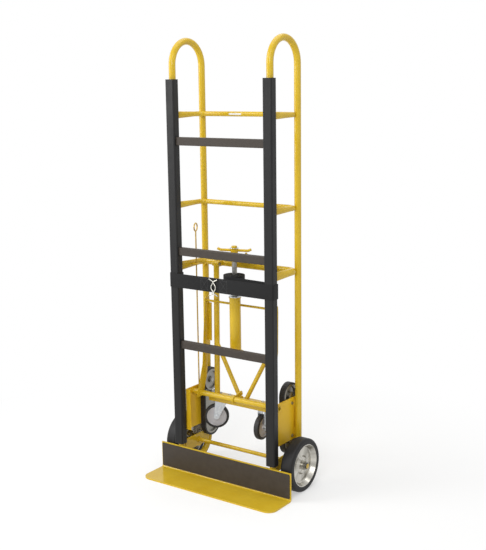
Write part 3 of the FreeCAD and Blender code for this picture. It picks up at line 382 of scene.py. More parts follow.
def plain_metal(name, dark, light, smooth, rough, grain_mm, stretch=(1, 1, 1), deep_mm=0.02):
    # Bare or plated metal: a cloudy tint, uneven polish and a shallow tooth an eighth as wide as the clouds
    tooth_mm = grain_mm / 8
    material, tree, shader, place = new_material(name)
    drawn = add_node(tree, "ShaderNodeMapping", None, {"Scale": stretch}, {"Vector": place.outputs["Object"]})
    cloud = add_node(tree, "ShaderNodeTexNoise", None,
                     {"Scale": per_mm(grain_mm), "Detail": 4.0, "Roughness": 0.6},
                     {"Vector": drawn.outputs["Vector"]})
    add_node(tree, "ShaderNodeValToRGB", None, None, {"Fac": cloud.outputs["Fac"]},
             ((TINT_LOW, dark), (TINT_HIGH, light)), {"Color": shader.inputs["Base Color"]})
    add_node(tree, "ShaderNodeMapRange", None,
             {"From Min": WEAR_LOW, "From Max": WEAR_HIGH, "To Min": smooth, "To Max": rough},
             {"Value": cloud.outputs["Fac"]}, feeds={"Result": shader.inputs["Roughness"]})
    shader.inputs["Metallic"].default_value = 1.0
    tooth = add_node(tree, "ShaderNodeTexNoise", None,
                     {"Scale": per_mm(tooth_mm), "Detail": 2.0, "Roughness": 0.5},
                     {"Vector": drawn.outputs["Vector"]})
    add_node(tree, "ShaderNodeBump", None, {"Strength": 0.5, "Distance": deep_mm * MM},
             {"Height": tooth.outputs["Fac"]}, feeds={"Normal": shader.inputs["Normal"]})
    return material


def spun_rim():
    # Pressed and polished steel rim: grey mirror with painted reflections, light and dark sweeps round the
    # axle in its colour, with uneven polish along the same sweeps and fine polishing rings
    reflection_sweeps_round = 9.0
    ring_mm = 2.5
    ring_deep_mm = 0.02
    material, tree, shader, place = new_material("polished_pressed_rim")
    sweep = add_node(tree, "ShaderNodeTexGradient", {"gradient_type": "RADIAL"}, None,
                     {"Vector": about_the_axle(tree, place)})
    reflection_and_polish_streaks = add_node(tree, "ShaderNodeTexNoise", {"noise_dimensions": "1D"},
                       {"Scale": reflection_sweeps_round, "Detail": 2.0, "Roughness": 0.5}, {"W": sweep.outputs["Fac"]})
    # The light and dark sweeps in the base colour are painted reflections; the same sweeps also vary the
    # roughness
    add_node(tree, "ShaderNodeValToRGB", None, None, {"Fac": reflection_and_polish_streaks.outputs["Fac"]},
             ((0.35, "#9A978F"), (0.62, "#CAC7BF")), {"Color": shader.inputs["Base Color"]})
    add_node(tree, "ShaderNodeMapRange", None,
             {"From Min": WEAR_LOW, "From Max": WEAR_HIGH, "To Min": 0.14, "To Max": 0.26},
             {"Value": reflection_and_polish_streaks.outputs["Fac"]}, feeds={"Result": shader.inputs["Roughness"]})
    shader.inputs["Metallic"].default_value = 1.0
    add_node(tree, "ShaderNodeBump", None, {"Strength": 0.4, "Distance": ring_deep_mm * MM},
             {"Height": axle_rings(tree, place, ring_mm)}, feeds={"Normal": shader.inputs["Normal"]})
    return material


CAP_PAINT_RADIUS = 9.0 * MM
CAP_FACE_X = 302.0 * MM


def axle_end_finish():
    # The axle's painted end shows yellow inside a near-black ring of painted shade round the cap's rim; the
    # washers behind are bright steel
    grime_mm = 6
    material, tree, shader, place = new_material("painted_axle_end")
    apart = add_node(tree, "ShaderNodeSeparateXYZ", None, None, {"Vector": place.outputs["Object"]})
    out = add_node(tree, "ShaderNodeMath", {"operation": "ABSOLUTE"}, None, {0: apart.outputs["X"]})
    on_cap = add_node(tree, "ShaderNodeMath", {"operation": "GREATER_THAN"}, {1: CAP_FACE_X},
                      {0: out.outputs["Value"]})
    inside_painted_shade_ring = add_node(tree, "ShaderNodeMath", {"operation": "LESS_THAN"}, {1: CAP_PAINT_RADIUS},
                       {0: axle_radius(tree, place)})
    # Past CAP_PAINT_RADIUS the cap face is coloured near black: painted shade round the yellow end, not a
    # separate part
    yellow_and_painted_shade = add_node(tree, "ShaderNodeMix", {"data_type": "RGBA"},
                     {"A": linear("#1E1D1C"), "B": linear("#D2AE36")}, {"Factor": inside_painted_shade_ring.outputs["Value"]})
    grime = add_node(tree, "ShaderNodeTexNoise", None,
                     {"Scale": per_mm(grime_mm), "Detail": 4.0, "Roughness": 0.55},
                     {"Vector": place.outputs["Object"]})
    steel = add_node(tree, "ShaderNodeValToRGB", None, None, {"Fac": grime.outputs["Fac"]},
                     ((0.0, "#85837D"), (1.0, "#A9A7A0")))
    add_node(tree, "ShaderNodeMix", {"data_type": "RGBA"}, None,
             {"Factor": on_cap.outputs["Value"], "A": steel.outputs["Color"], "B": yellow_and_painted_shade.outputs["Result"]},
             feeds={"Result": shader.inputs["Base Color"]})
    add_node(tree, "ShaderNodeMath", {"operation": "SUBTRACT"}, {0: 1.0}, {1: on_cap.outputs["Value"]},
             feeds={"Value": shader.inputs["Metallic"]})
    add_node(tree, "ShaderNodeMapRange", None,
             {"From Min": WEAR_LOW, "From Max": WEAR_HIGH, "To Min": 0.25, "To Max": 0.4},
             {"Value": grime.outputs["Fac"]}, feeds={"Result": shader.inputs["Roughness"]})
    return material


def caster_plastic():
    # Moulded grey polyolefin wheel: even pale grey, satin, with fine mould texture
    cloud_mm = 30
    texture_mm = 1.5
    texture_deep_mm = 0.05
    material, tree, shader, place = new_material("grey_moulded_wheel")
    cloud = add_node(tree, "ShaderNodeTexNoise", None,
                     {"Scale": per_mm(cloud_mm), "Detail": 4.0, "Roughness": 0.55},
                     {"Vector": place.outputs["Object"]})
    add_node(tree, "ShaderNodeValToRGB", None, None, {"Fac": cloud.outputs["Fac"]},
             ((TINT_LOW, "#B0AEB1"), (TINT_HIGH, "#BCBABD")), {"Color": shader.inputs["Base Color"]})
    add_node(tree, "ShaderNodeMapRange", None,
             {"From Min": WEAR_LOW, "From Max": WEAR_HIGH, "To Min": 0.36, "To Max": 0.5},
             {"Value": cloud.outputs["Fac"]}, feeds={"Result": shader.inputs["Roughness"]})
    texture = add_node(tree, "ShaderNodeTexNoise", None,
                       {"Scale": per_mm(texture_mm), "Detail": 2.0, "Roughness": 0.55},
                       {"Vector": place.outputs["Object"]})
    add_node(tree, "ShaderNodeBump", None, {"Strength": 0.4, "Distance": texture_deep_mm * MM},
             {"Height": texture.outputs["Fac"]}, feeds={"Normal": shader.inputs["Normal"]})
    return material


def label_vinyl():
    # Blank vinyl film: soft white, satin, a little uneven where it lies on the paint
    cloud_mm = 18
    material, tree, shader, place = new_material("blank_white_vinyl")
    cloud = add_node(tree, "ShaderNodeTexNoise", None,
                     {"Scale": per_mm(cloud_mm), "Detail": 3.0, "Roughness": 0.55},
                     {"Vector": place.outputs["Object"]})
    add_node(tree, "ShaderNodeValToRGB", None, None, {"Fac": cloud.outputs["Fac"]},
             ((TINT_LOW, "#DEDCD4"), (TINT_HIGH, "#ECEAE4")), {"Color": shader.inputs["Base Color"]})
    add_node(tree, "ShaderNodeMapRange", None,
             {"From Min": WEAR_LOW, "From Max": WEAR_HIGH, "To Min": 0.34, "To Max": 0.46},
             {"Value": cloud.outputs["Fac"]}, feeds={"Result": shader.inputs["Roughness"]})
    return material


finishes = {
    # On tube and bar the coat is lemon yellow and glossy
    "yellow_paint": powder_coat("yellow_powder_coat", "#CAA71F", "#D1B02A", 0.14, 0.2, 1.4),
    "sleeve_black": sleeve_vinyl(),
    "pad_dark": pad_rubber(),
    "webbing": belt_webbing(),
    # Turned steel bar: mid grey with lathe lines round it
    "steel": plain_metal("turned_steel", "#8B8A85", "#A3A29D", 0.26, 0.4, 12, (0.1, 0.1, 1)),
    # Bright drawn wire: pale, a little uneven in its shine
    "wire": plain_metal("bright_drawn_wire", "#B9B7AE", "#CFCDC5", 0.18, 0.3, 6),
    # Yellow chromate over zinc on wire: a golden wash with an uneven bloom
    "yellow_zinc": plain_metal("yellow_chromate_wire", "#B5933C", "#CDAE58", 0.3, 0.45, 10),
    # Zinc plate: pale blue-grey, a little cloudy
    "zinc": plain_metal("zinc_plated_pressing", "#B4B8BB", "#CDD0D3", 0.28, 0.42, 8),
    "rim_metal": spun_rim(),
    "tyre": tyre_rubber(),
    "caster_grey": caster_plastic(),
    "climber_rubber": climber_rubber(),
    # Sand-cast aluminium: mid grey and grainy, with a soft shine
    "climber_casting": plain_metal("sand_cast_aluminium", "#7E7C76", "#9A9891", 0.3, 0.46, 5, deep_mm=0.08),
}
# On the flat side plates the coat is a lighter, warmer copy of the yellow: painted light and warm bounce from
# the lamps, and less glossy
painted_light_plate_coat = powder_coat("lit_copy_of_powder_coat", "#DFB31C", "#E5BB28", 0.26, 0.36, 1.3)
tread = caster_rubber()
own_finishes = {
    "left_side_plate": painted_light_plate_coat,
    "right_side_plate": painted_light_plate_coat,
    "axle_fasteners": axle_end_finish(),
    "left_caster_tyre": tread,
    "right_caster_tyre": tread,
}
thread = belt_thread()
for entry in frame["record"]["subparts"]:
    cad = nodes[entry["node"]]
    cad.data.materials.clear()
    cad.data.materials.append(own_finishes.get(entry["node"], finishes[entry["material_slot"]]))


# Webbing

def flat(x, y):
    """A point of a route, seen from above."""
    return Vector((x, y))


def arc_points(centre, start_deg, end_deg, radius, count):
    """The points of a flat arc in so many steps."""
    angles = [math.radians(start_deg + (end_deg - start_deg) * i / count) for i in range(count + 1)]
    return [centre + flat(math.cos(a), math.sin(a)) * radius for a in angles]


def rounded_route(corners, radius, steps):
    """The corners of a flat route with each turn rounded."""
    route = [corners[0]]
    for before, corner, after in zip(corners, corners[1:], corners[2:]):
        back = (before - corner).normalized()
        ahead = (after - corner).normalized()
        half = back.angle(ahead) / 2
        reach = radius / math.tan(half)
        centre = corner + (back + ahead).normalized() * (radius / math.sin(half))
        start = corner + back * reach - centre
        turn = start.angle_signed(corner + ahead * reach - centre)
        for i in range(steps + 1):
            step = Matrix.Rotation(-turn * i / steps, 2)
            route.append(centre + step @ start)
    route.append(corners[-1])
    return route


STRIP_EDGE = 0.3 * MM
STRIP_EDGE_DEG = 50
PLACE_DIGITS = 7


def webbing_strip(name, route, low, high, thick):
    """A strip on edge: one edge of a plane is extruded along the route, then given its thickness."""
    first = route[0]
    piece = begin(name, bpy.ops.mesh.primitive_plane_add, size=1, location=(0, 0, 0))
    mesh = bmesh.from_edit_mesh(piece.data)
    places = [(first, low), (route[1], low), (first, high), (route[1], high)]
    for corner, (spot, height) in zip(mesh.verts, places):
        corner.co = Vector((spot.x, spot.y, height))
    bmesh.update_edit_mesh(piece.data)
    for here, there in zip(route[1:], route[2:]):
        end = Vector((here.x, here.y, 0))
        pick(piece, "EDGE", lambda c, d: (Vector((c.x, c.y, 0)) - end).length < HAIR)
        move = Vector((there.x - here.x, there.y - here.y, 0))
        bpy.ops.mesh.extrude_region_move(TRANSFORM_OT_translate={"value": move})
    bpy.ops.object.mode_set(mode="OBJECT")
    lengths = [0.0]
    for here, there in zip(route, route[1:]):
        lengths.append(lengths[-1] + (there - here).length)
    marks = {(round(p.x, PLACE_DIGITS), round(p.y, PLACE_DIGITS)): s for p, s in zip(route, lengths)}
    layer = piece.data.uv_layers.active or piece.data.uv_layers.new(name="length")
    for loop in piece.data.loops:
        spot = piece.data.vertices[loop.vertex_index].co
        nearest = min(marks, key=lambda m: abs(m[0] - spot.x) + abs(m[1] - spot.y))
        layer.data[loop.index].uv = (marks[nearest], spot.z - low)
    finish_with(piece, "SOLIDIFY", thickness=thick, offset=0.0, use_even_offset=True)
    finish_with(piece, "BEVEL", width=STRIP_EDGE, segments=2, limit_method="ANGLE",
                angle_limit=math.radians(STRIP_EDGE_DEG))
    return piece


STITCH_LONG = 3.2 * MM
STITCH_WIDE = 0.9 * MM
STITCH_PITCH = 4.2 * MM
STITCH_PROUD = 0.1 * MM
STITCH_FLAT = 0.7
STITCH_MARGIN = 6.0 * MM
STITCH_SIDES = 8
STITCH_RINGS = 6


def stitch_row(name, start, end):
    """A row of stitches on the front of the belt: one is drawn out from a ball and repeated."""
    run = end - start
    count = round(run.length / STITCH_PITCH) + 1
    step = run / (count - 1)
    piece = begin(name, bpy.ops.mesh.primitive_uv_sphere_add, segments=STITCH_SIDES,
                  ring_count=STITCH_RINGS, radius=STITCH_WIDE / 2, location=start)
    bpy.ops.mesh.select_all(action="SELECT")
    bpy.ops.transform.resize(value=(1, STITCH_FLAT, STITCH_LONG / STITCH_WIDE))
    bpy.ops.object.mode_set(mode="OBJECT")
    piece.rotation_euler = (0, math.atan2(run.x, run.z), 0)
    bpy.ops.object.transform_apply(location=False, rotation=True, scale=False)
    finish_with(piece, "ARRAY", count=count, use_relative_offset=False, use_constant_offset=True,
                constant_offset_displace=step)
    return piece


def box_stitch(name, near, far, front, low, high):
    """A sewn box with its cross, which holds the folded end of a belt."""
    y = front - STITCH_PROUD
    bottom = low + STITCH_MARGIN
    top = high - STITCH_MARGIN
    a, b, c, d = (Vector((near, y, bottom)), Vector((far, y, bottom)),
                  Vector((far, y, top)), Vector((near, y, top)))
    rows = ((a, b), (b, c), (c, d), (d, a), (a, c), (b, d))
    pieces = [stitch_row(name + "_row", start, end) for start, end in rows]
    settle(joined(name, pieces), thread, "frame")


BELT_THICK = 2.0 * MM
BELT_ROUND = 6.0 * MM
CORNER_STEPS = 6
WRAP_FROM_DEG = -235
WRAP_TO_DEG = -94
WRAP_STEPS = 20
WRAP_GAP = 0.3 * MM
FOLD_GAP = 0.5 * MM
FOLD_LONG = 62.0 * MM
SEWN_FROM = 26.0 * MM
SEWN_TO = 58.0 * MM


def belt_run():
    """The long run of the load belt: off the roll, round the right rail and across the front."""
    low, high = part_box("load_belt")
    roll_low, roll_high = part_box("belt_roll")
    spindle_low, spindle_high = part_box("spindle")
    axis = flat((spindle_low.x + spindle_high.x) / 2, (spindle_low.y + spindle_high.y) / 2)
    roll_radius = max(roll_high.x - axis.x, roll_high.y - axis.y, axis.x - roll_low.x, axis.y - roll_low.y)
    outside = high.x - BELT_THICK / 2
    front = low.y + BELT_THICK / 2
    wrap = arc_points(axis, WRAP_FROM_DEG, WRAP_TO_DEG, roll_radius + WRAP_GAP + BELT_THICK / 2, WRAP_STEPS)
    rail_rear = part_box("belt_anchor_loop")[1].y - BELT_THICK / 2
    fold = front + BELT_THICK + FOLD_GAP
    corners = [wrap[-1], flat(outside, rail_rear), flat(outside, front), flat(low.x, front)]
    route = wrap[:-1] + rounded_route(corners, BELT_ROUND, CORNER_STEPS)
    back = arc_points(flat(low.x, (front + fold) / 2), 270, 90, (fold - front) / 2, CORNER_STEPS)
    route = route[:-1] + back + [flat(low.x + FOLD_LONG, fold)]
    piece = webbing_strip("webbing_run", route, low.z, high.z, BELT_THICK)
    settle(piece, finishes["webbing"], "frame", stands_for=("load_belt",))
    box_stitch("webbing_run_stitches", low.x + SEWN_FROM, low.x + SEWN_TO, low.y, low.z, high.z)


def belt_anchor():
    """The short run: looped round the left rail and sewn to the hook's other end."""
    low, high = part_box("belt_anchor_loop")
    outside = low.x + BELT_THICK / 2
    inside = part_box("left_rail_sleeve")[1].x + WRAP_GAP + BELT_THICK / 2
    front = low.y + BELT_THICK / 2
    rear = high.y - BELT_THICK / 2
    fold = front + BELT_THICK + FOLD_GAP
    corners = [flat(high.x, front), flat(outside, front), flat(outside, rear), flat(inside, rear),
               flat(inside, fold)]
    route = rounded_route(corners, BELT_ROUND, CORNER_STEPS)
    start = arc_points(flat(high.x, (front + fold) / 2), 90, -90, (fold - front) / 2, CORNER_STEPS)
    route = [flat(high.x - FOLD_LONG, fold)] + start + route[1:]
    piece = webbing_strip("webbing_anchor", route, low.z, high.z, BELT_THICK)
    settle(piece, finishes["webbing"], "frame", stands_for=("belt_anchor_loop",))
    box_stitch("webbing_anchor_stitches", high.x - SEWN_TO, high.x - SEWN_FROM, low.y, low.z, high.z)


ROLL_TURNS = 11
ROLL_STEPS = 28
ROLL_GAP = 0.6 * MM


def belt_roll():
    """The belt wound on the spindle."""
    low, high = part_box("belt_roll")
    spindle_low, spindle_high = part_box("spindle")
    axis = flat((spindle_low.x + spindle_high.x) / 2, (spindle_low.y + spindle_high.y) / 2)
    pitch = BELT_THICK + ROLL_GAP
    first = (spindle_high.x - spindle_low.x) / 2 + WRAP_GAP + BELT_THICK / 2
    route = []
    for i in range(ROLL_TURNS * ROLL_STEPS + 1):
        turn = i / ROLL_STEPS
        angle = -math.pi / 2 + 2 * math.pi * turn
        route.append(axis + flat(math.cos(angle), math.sin(angle)) * (first + pitch * turn))
    piece = webbing_strip("webbing_roll", route, low.z, high.z, BELT_THICK)
    settle(piece, finishes["webbing"], "belt_winder", stands_for=("belt_roll",))


belt_run()
belt_anchor()
belt_roll()


# Small fittings

COLLAR_TALL = 3.0 * MM
COLLAR_EDGE = 0.8 * MM
COLLAR_PLAY = 1.0 * MM
COLLAR_SIDES = 64


def housing_collar():
    """The zinc-plated disc that closes the spring housing round the spindle."""
    low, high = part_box("spring_housing")
    spindle_low, spindle_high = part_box("spindle")
    radius = (high.x - low.x) / 2
    hole = (spindle_high.x - spindle_low.x) / 2 + COLLAR_PLAY
    middle = (low.y + high.y) / 2
    piece = begin("housing_collar", bpy.ops.mesh.primitive_cylinder_add, vertices=COLLAR_SIDES,
                  radius=radius, depth=COLLAR_TALL, location=(0, middle, high.z + COLLAR_TALL / 2))
    pick(piece, "FACE", lambda c, n: abs(n.z) > FACING)
    bpy.ops.mesh.inset(thickness=radius - hole, depth=0, use_individual=True)
    bpy.ops.mesh.delete(type="FACE")
    by_the_hole = hole + COLLAR_EDGE
    pick(piece, "EDGE", lambda c, d: abs(d.z) < HAIR and math.hypot(c.x, c.y) < by_the_hole)
    bpy.ops.mesh.bridge_edge_loops()
    pick(piece, "EDGE", lambda c, d: abs(d.z) < HAIR and c.z > 0 and math.hypot(c.x, c.y) > by_the_hole)
    bpy.ops.mesh.bevel(offset=COLLAR_EDGE, segments=3)
    bpy.ops.mesh.select_all(action="SELECT")
    bpy.ops.mesh.normals_make_consistent(inside=False)
    bpy.ops.object.mode_set(mode="OBJECT")
    settle(piece, finishes["zinc"], "frame")


TEE_HUB_TOP = 903.0 * MM
TEE_WASHER_RADIUS = 17.0 * MM
TEE_WASHER_TALL = 2.2 * MM
TEE_WASHER_EDGE = 0.6 * MM
TEE_WASHER_SIDES = 48
TEE_SCREW_RADIUS = 11.0 * MM
TEE_SCREW_TALL = 7.0 * MM
TEE_SCREW_CROWN = 1.0 * MM
TEE_SCREW_EDGE = 0.5 * MM
TEE_SCREW_EDGE_DEG = 20
HEX_SIDES = 6


def tee_screw():
    """The washer and the painted hexagon screw that hold the T-handle on its spindle."""
    spindle_low, spindle_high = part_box("spindle")
    axis = flat((spindle_low.x + spindle_high.x) / 2, (spindle_low.y + spindle_high.y) / 2)
    washer = begin("tee_washer", bpy.ops.mesh.primitive_cylinder_add, vertices=TEE_WASHER_SIDES,
                   radius=TEE_WASHER_RADIUS, depth=TEE_WASHER_TALL,
                   location=(axis.x, axis.y, TEE_HUB_TOP + TEE_WASHER_TALL / 2))
    pick(washer, "EDGE", lambda c, d: abs(d.z) < HAIR)
    bpy.ops.mesh.bevel(offset=TEE_WASHER_EDGE, segments=2)
    bpy.ops.object.mode_set(mode="OBJECT")
    settle(washer, finishes["zinc"], "belt_winder")
    seat = TEE_HUB_TOP + TEE_WASHER_TALL
    screw = begin("tee_screw", bpy.ops.mesh.primitive_cylinder_add, vertices=HEX_SIDES,
                  radius=TEE_SCREW_RADIUS, depth=TEE_SCREW_TALL,
                  location=(axis.x, axis.y, seat + TEE_SCREW_TALL / 2))
    pick(screw, "FACE", lambda c, n: n.z > FACING)
    bpy.ops.mesh.inset(thickness=2 * TEE_SCREW_CROWN, depth=0)
    bpy.ops.transform.translate(value=(0, 0, TEE_SCREW_CROWN))
    bpy.ops.object.mode_set(mode="OBJECT")
    finish_with(screw, "BEVEL", width=TEE_SCREW_EDGE, segments=2, limit_method="ANGLE",
                angle_limit=math.radians(TEE_SCREW_EDGE_DEG))
    settle(screw, finishes["yellow_paint"], "belt_winder")


BAR_RADIUS = 9.5 * MM
LABEL_LONG = 56.0 * MM
LABEL_X = -45.5 * MM
LABEL_HALF = math.radians(21)
LABEL_THICK = 0.2 * MM
LABEL_CORNER = 0.5 * MM
LABEL_TUBE_SIDES = 96


def bar_label():
    """The blank label on the front of the top rear bar: a strip kept from a tube, with rounded corners."""
    low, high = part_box("upper_rear_bar")
    piece = begin("bar_label", bpy.ops.mesh.primitive_cylinder_add, vertices=LABEL_TUBE_SIDES,
                  radius=BAR_RADIUS, depth=LABEL_LONG,
                  location=(LABEL_X, high.y - BAR_RADIUS, (low.z + high.z) / 2),
                  rotation=(0, math.pi / 2, 0))
    pick(piece, "FACE", lambda c, n: abs(n.z) > FACING or abs(math.atan2(c.x, -c.y)) > LABEL_HALF)
    bpy.ops.mesh.delete(type="FACE")
    pick(piece, "VERT", lambda c, n: abs(math.atan2(c.x, -c.y)) > LABEL_HALF)
    bpy.ops.mesh.bevel(offset=LABEL_CORNER, segments=3, affect="VERTICES")
    bpy.ops.object.mode_set(mode="OBJECT")
    finish_with(piece, "SOLIDIFY", thickness=LABEL_THICK, offset=1.0)
    settle(piece, label_vinyl(), "frame")


# Weld beads

BEAD = 1.7 * MM
BEAD_STEP = 2.6 * MM
RING_SIDES = 8
RUN_SIDES = 10
RIPPLE = BEAD / 5
BEAD_START = 2.0
BEAD_SLIMMER = 0.8
BEAD_FULLER = 1.25
BEAD_END = 0.5
BEAD_SMOOTH_DEG = 60


def weld_ring(name, centre, across, along, turn=(0, 0, 0)):
    """A rippled bead round a tube end, across by along in its own plane."""
    ripples = round(math.pi * (across + along) / BEAD_STEP)
    piece = begin(name, bpy.ops.mesh.primitive_torus_add, major_segments=2 * ripples,
                  minor_segments=RING_SIDES, major_radius=across, minor_radius=BEAD, location=(0, 0, 0))
    step = math.pi / ripples
    pick(piece, "VERT", lambda c, n: round(math.atan2(c.y, c.x) / step) % 2 == 0)
    bpy.ops.transform.shrink_fatten(value=-RIPPLE)
    bpy.ops.mesh.select_all(action="SELECT")
    bpy.ops.transform.resize(value=(1, along / across, 1))
    bpy.ops.object.mode_set(mode="OBJECT")
    piece.rotation_euler = turn
    piece.location = centre
    return piece


def weld_run(name, start, end):
    """A straight rippled bead: a disc extruded step by step, each step fuller or slimmer than the last."""
    run = end - start
    count = round(run.length / BEAD_STEP)
    step = run / count
    piece = begin(name, bpy.ops.mesh.primitive_circle_add, vertices=RUN_SIDES, radius=BEAD / 2,
                  fill_type="NGON", location=start, rotation=run.to_track_quat("Z", "Y").to_euler())
    bpy.ops.mesh.select_all(action="SELECT")
    for i in range(count):
        full = BEAD_FULLER if i % 2 else BEAD_SLIMMER
        if i == 0:
            full = BEAD_START
        if i == count - 1:
            full = BEAD_END
        bpy.ops.mesh.extrude_region_move(TRANSFORM_OT_translate={"value": step})
        bpy.ops.transform.resize(value=(full, full, full), center_override=start + step * (i + 1))
    bpy.ops.mesh.select_all(action="SELECT")
    bpy.ops.mesh.normals_make_consistent(inside=False)
    bpy.ops.object.mode_set(mode="OBJECT")
    return piece


CHANNEL_Y = 90.875 * MM
CHANNEL_TOP = 300.0 * MM
LEG_X = 126.0 * MM
LEG_RADIUS = 11.0 * MM
STRUT_X = 12.0 * MM
STRUT_RADIUS = 8.5 * MM
STRUT_SLANT = 1.13
BAIL_ARM_X = 160.0 * MM
BAIL_ROD_RADIUS = 4.5 * MM
BAIL_ROD_Y = 79.469 * MM
BAIL_ROD_Z = 679.7 * MM
UPRIGHT_X = 216.0 * MM
UPRIGHT_Y = 147.875 * MM
TUBE_RADIUS = 12.7 * MM
PLATE_WELDS = ((184.0 * MM, 214.0 * MM), (292.0 * MM, 322.0 * MM))
PLATE_WELD_SIDE = 6.5 * MM


def caster_frame_welds():
    """Beads where the legs and the V-brace stand on the channel."""
    pieces = []
    for side in (-1, 1):
        pieces.append(weld_ring("leg_weld", (side * LEG_X, CHANNEL_Y, CHANNEL_TOP), LEG_RADIUS, LEG_RADIUS))
        pieces.append(weld_ring("strut_weld", (side * STRUT_X, CHANNEL_Y, CHANNEL_TOP),
                                STRUT_RADIUS * STRUT_SLANT, STRUT_RADIUS))
    settle(joined("caster_frame_welds", pieces), finishes["yellow_paint"], "caster_frame",
           BEAD_SMOOTH_DEG)


def bail_welds():
    """Beads where the bail's rod enters its arms."""
    pieces = [weld_ring("bail_weld", (side * BAIL_ARM_X, BAIL_ROD_Y, BAIL_ROD_Z), BAIL_ROD_RADIUS,
                        BAIL_ROD_RADIUS, (0, math.pi / 2, 0)) for side in (-1, 1)]
    settle(joined("bail_welds", pieces), finishes["yellow_paint"], "bail", BEAD_SMOOTH_DEG)


def side_plate_welds():
    """Short beads in the corner between each side plate and its upright."""
    depth = TUBE_RADIUS - math.sqrt(TUBE_RADIUS ** 2 - PLATE_WELD_SIDE ** 2)
    pieces = []
    for side in (-1, 1):
        x = side * (UPRIGHT_X - TUBE_RADIUS + depth / 2)
        for low, high in PLATE_WELDS:
            y = UPRIGHT_Y - PLATE_WELD_SIDE
            pieces.append(weld_run("plate_weld", Vector((x, y, low)), Vector((x, y, high))))
    settle(joined("side_plate_welds", pieces), finishes["yellow_paint"], "frame",
           BEAD_SMOOTH_DEG)


housing_collar()
tee_screw()
bar_label()
caster_frame_welds()
bail_welds()
side_plate_welds()


# Camera where the photograph was taken from, floor and light

CAMERA_PLACE = Vector((2136.9, -2888.7, 1514.6)) * MM
CAMERA_TURN = math.radians(35.57)
CAMERA_TILT = math.radians(11.12)
CAMERA_ROLL = math.radians(-0.78)
FOCAL_PX = 985.74
IMAGE_TALL_PX = 550
SENSOR = 36.0
VIEW_FAR = 50


def set_camera():
    """A camera that sees the truck as the photograph does."""
    right = Vector((math.cos(CAMERA_TURN), math.sin(CAMERA_TURN), 0))
    back = Vector((math.sin(CAMERA_TURN) * math.cos(CAMERA_TILT),
                   -math.cos(CAMERA_TURN) * math.cos(CAMERA_TILT), math.sin(CAMERA_TILT)))
    up = back.cross(right)
    side = right * math.cos(CAMERA_ROLL) + up * math.sin(CAMERA_ROLL)
    top = up * math.cos(CAMERA_ROLL) - right * math.sin(CAMERA_ROLL)
    deselect()
    bpy.ops.object.camera_add()
    camera = bpy.context.object
    camera.name = "photo_camera"
    camera.data.sensor_width = SENSOR
    camera.data.lens = FOCAL_PX * SENSOR / IMAGE_TALL_PX
    camera.data.clip_end = VIEW_FAR
    turn = Matrix((side, top, back)).transposed()
    camera.matrix_world = Matrix.Translation(CAMERA_PLACE) @ turn.to_4x4()
    bpy.context.scene.camera = camera


def seen_rays(tree):
    """1 for rays that show the background: from the camera, or by way of metal or glass."""
    path = add_node(tree, "ShaderNodeLightPath")
    some = add_node(tree, "ShaderNodeMath", {"operation": "MAXIMUM"}, None,
                    {0: path.outputs["Is Camera Ray"], 1: path.outputs["Is Glossy Ray"]})
    return add_node(tree, "ShaderNodeMath", {"operation": "MAXIMUM"}, None,
                    {0: some.outputs["Value"], 1: path.outputs["Is Transmission Ray"]}).outputs["Value"]


FLOOR_SIZE = 30.0
SHADOW_NEAR = 0.45
SHADOW_FAR = 1.5
FLOOR_GLOW_NEAR = 0.45


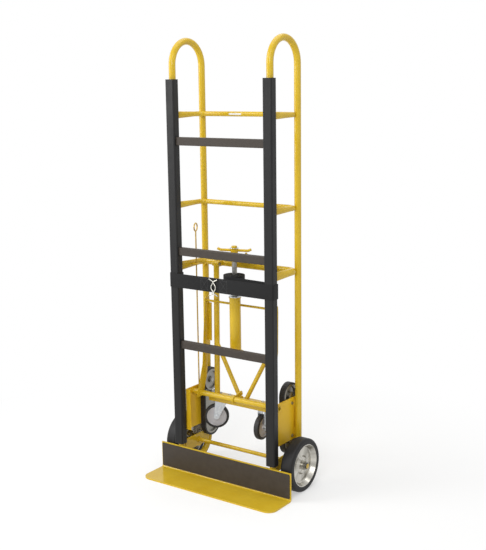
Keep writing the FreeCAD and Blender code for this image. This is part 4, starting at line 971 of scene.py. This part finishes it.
def set_floor():
    """A white floor that shows the shadow near the truck and runs out into the white background."""
    deselect()
    bpy.ops.mesh.primitive_plane_add(size=FLOOR_SIZE, location=(0, 0, 0))
    floor = bpy.context.object
    floor.name = "studio_floor"
    # Matt painted board: plain white with no shine
    material, tree, shader, place = new_material("white_studio_floor")
    shader.inputs["Base Color"].default_value = linear("#F6F6F5")
    shader.inputs["Roughness"].default_value = 0.9
    shader.inputs["Specular IOR Level"].default_value = 0.0
    away = add_node(tree, "ShaderNodeVectorMath", {"operation": "LENGTH"}, None, {0: place.outputs["Object"]})
    fade = add_node(tree, "ShaderNodeMapRange", {"interpolation_type": "SMOOTHSTEP"},
                    {"From Min": SHADOW_NEAR, "From Max": SHADOW_FAR,
                     "To Min": FLOOR_GLOW_NEAR, "To Max": 1.0},
                    {"Value": away.outputs["Value"]})
    share = add_node(tree, "ShaderNodeMath", {"operation": "MULTIPLY"}, None,
                     {0: fade.outputs["Result"], 1: seen_rays(tree)})
    white = add_node(tree, "ShaderNodeEmission", None, {"Color": (1, 1, 1, 1), "Strength": 1.0})
    mix = add_node(tree, "ShaderNodeMixShader", None, None,
                   {0: share.outputs["Value"], 1: shader.outputs["BSDF"], 2: white.outputs["Emission"]})
    tree.links.new(mix.outputs["Shader"], tree.nodes["Material Output"].inputs["Surface"])
    floor.data.materials.append(material)


def lamp(name, place, aim, wide, tall, power):
    """A soft box of so many metres and watts, turned to what it lights."""
    deselect()
    bpy.ops.object.light_add(type="AREA", location=place)
    light = bpy.context.object
    light.name = name
    light.data.shape = "RECTANGLE"
    light.data.size = wide
    light.data.size_y = tall
    light.data.energy = power
    light.rotation_euler = (Vector(aim) - Vector(place)).to_track_quat("-Z", "Y").to_euler()


WORLD_LIGHT = 0.46
# Name, place and aim in metres, width, height, watts
LAMPS = (
    ("key_light", (1.6, -3.2, 3.0), (0, 0, 0.8), 1.6, 3.0, 78),
    ("fill_light", (-2.8, -2.2, 2.2), (0, 0, 0.8), 1.6, 3.0, 82),
    ("top_light", (0.2, 0.6, 4.2), (0, 0, 0.6), 3.2, 3.2, 58),
)


def set_world():
    """Soft light all round, and plain white where the background shows."""
    world = bpy.data.worlds.new("studio")
    bpy.context.scene.world = world
    world.use_nodes = True
    tree = world.node_tree
    light = tree.nodes["Background"]
    light.inputs["Color"].default_value = (1, 1, 1, 1)
    light.inputs["Strength"].default_value = WORLD_LIGHT
    seen = add_node(tree, "ShaderNodeBackground", None, {"Color": (1, 1, 1, 1), "Strength": 1.0})
    mix = add_node(tree, "ShaderNodeMixShader", None, None,
                   {0: seen_rays(tree), 1: light.outputs["Background"], 2: seen.outputs["Background"]})
    tree.links.new(mix.outputs["Shader"], tree.nodes["World Output"].inputs["Surface"])


set_camera()
set_floor()
set_world()
for settings in LAMPS:
    lamp(*settings)
bpy.context.scene.view_settings.view_transform = "Standard"
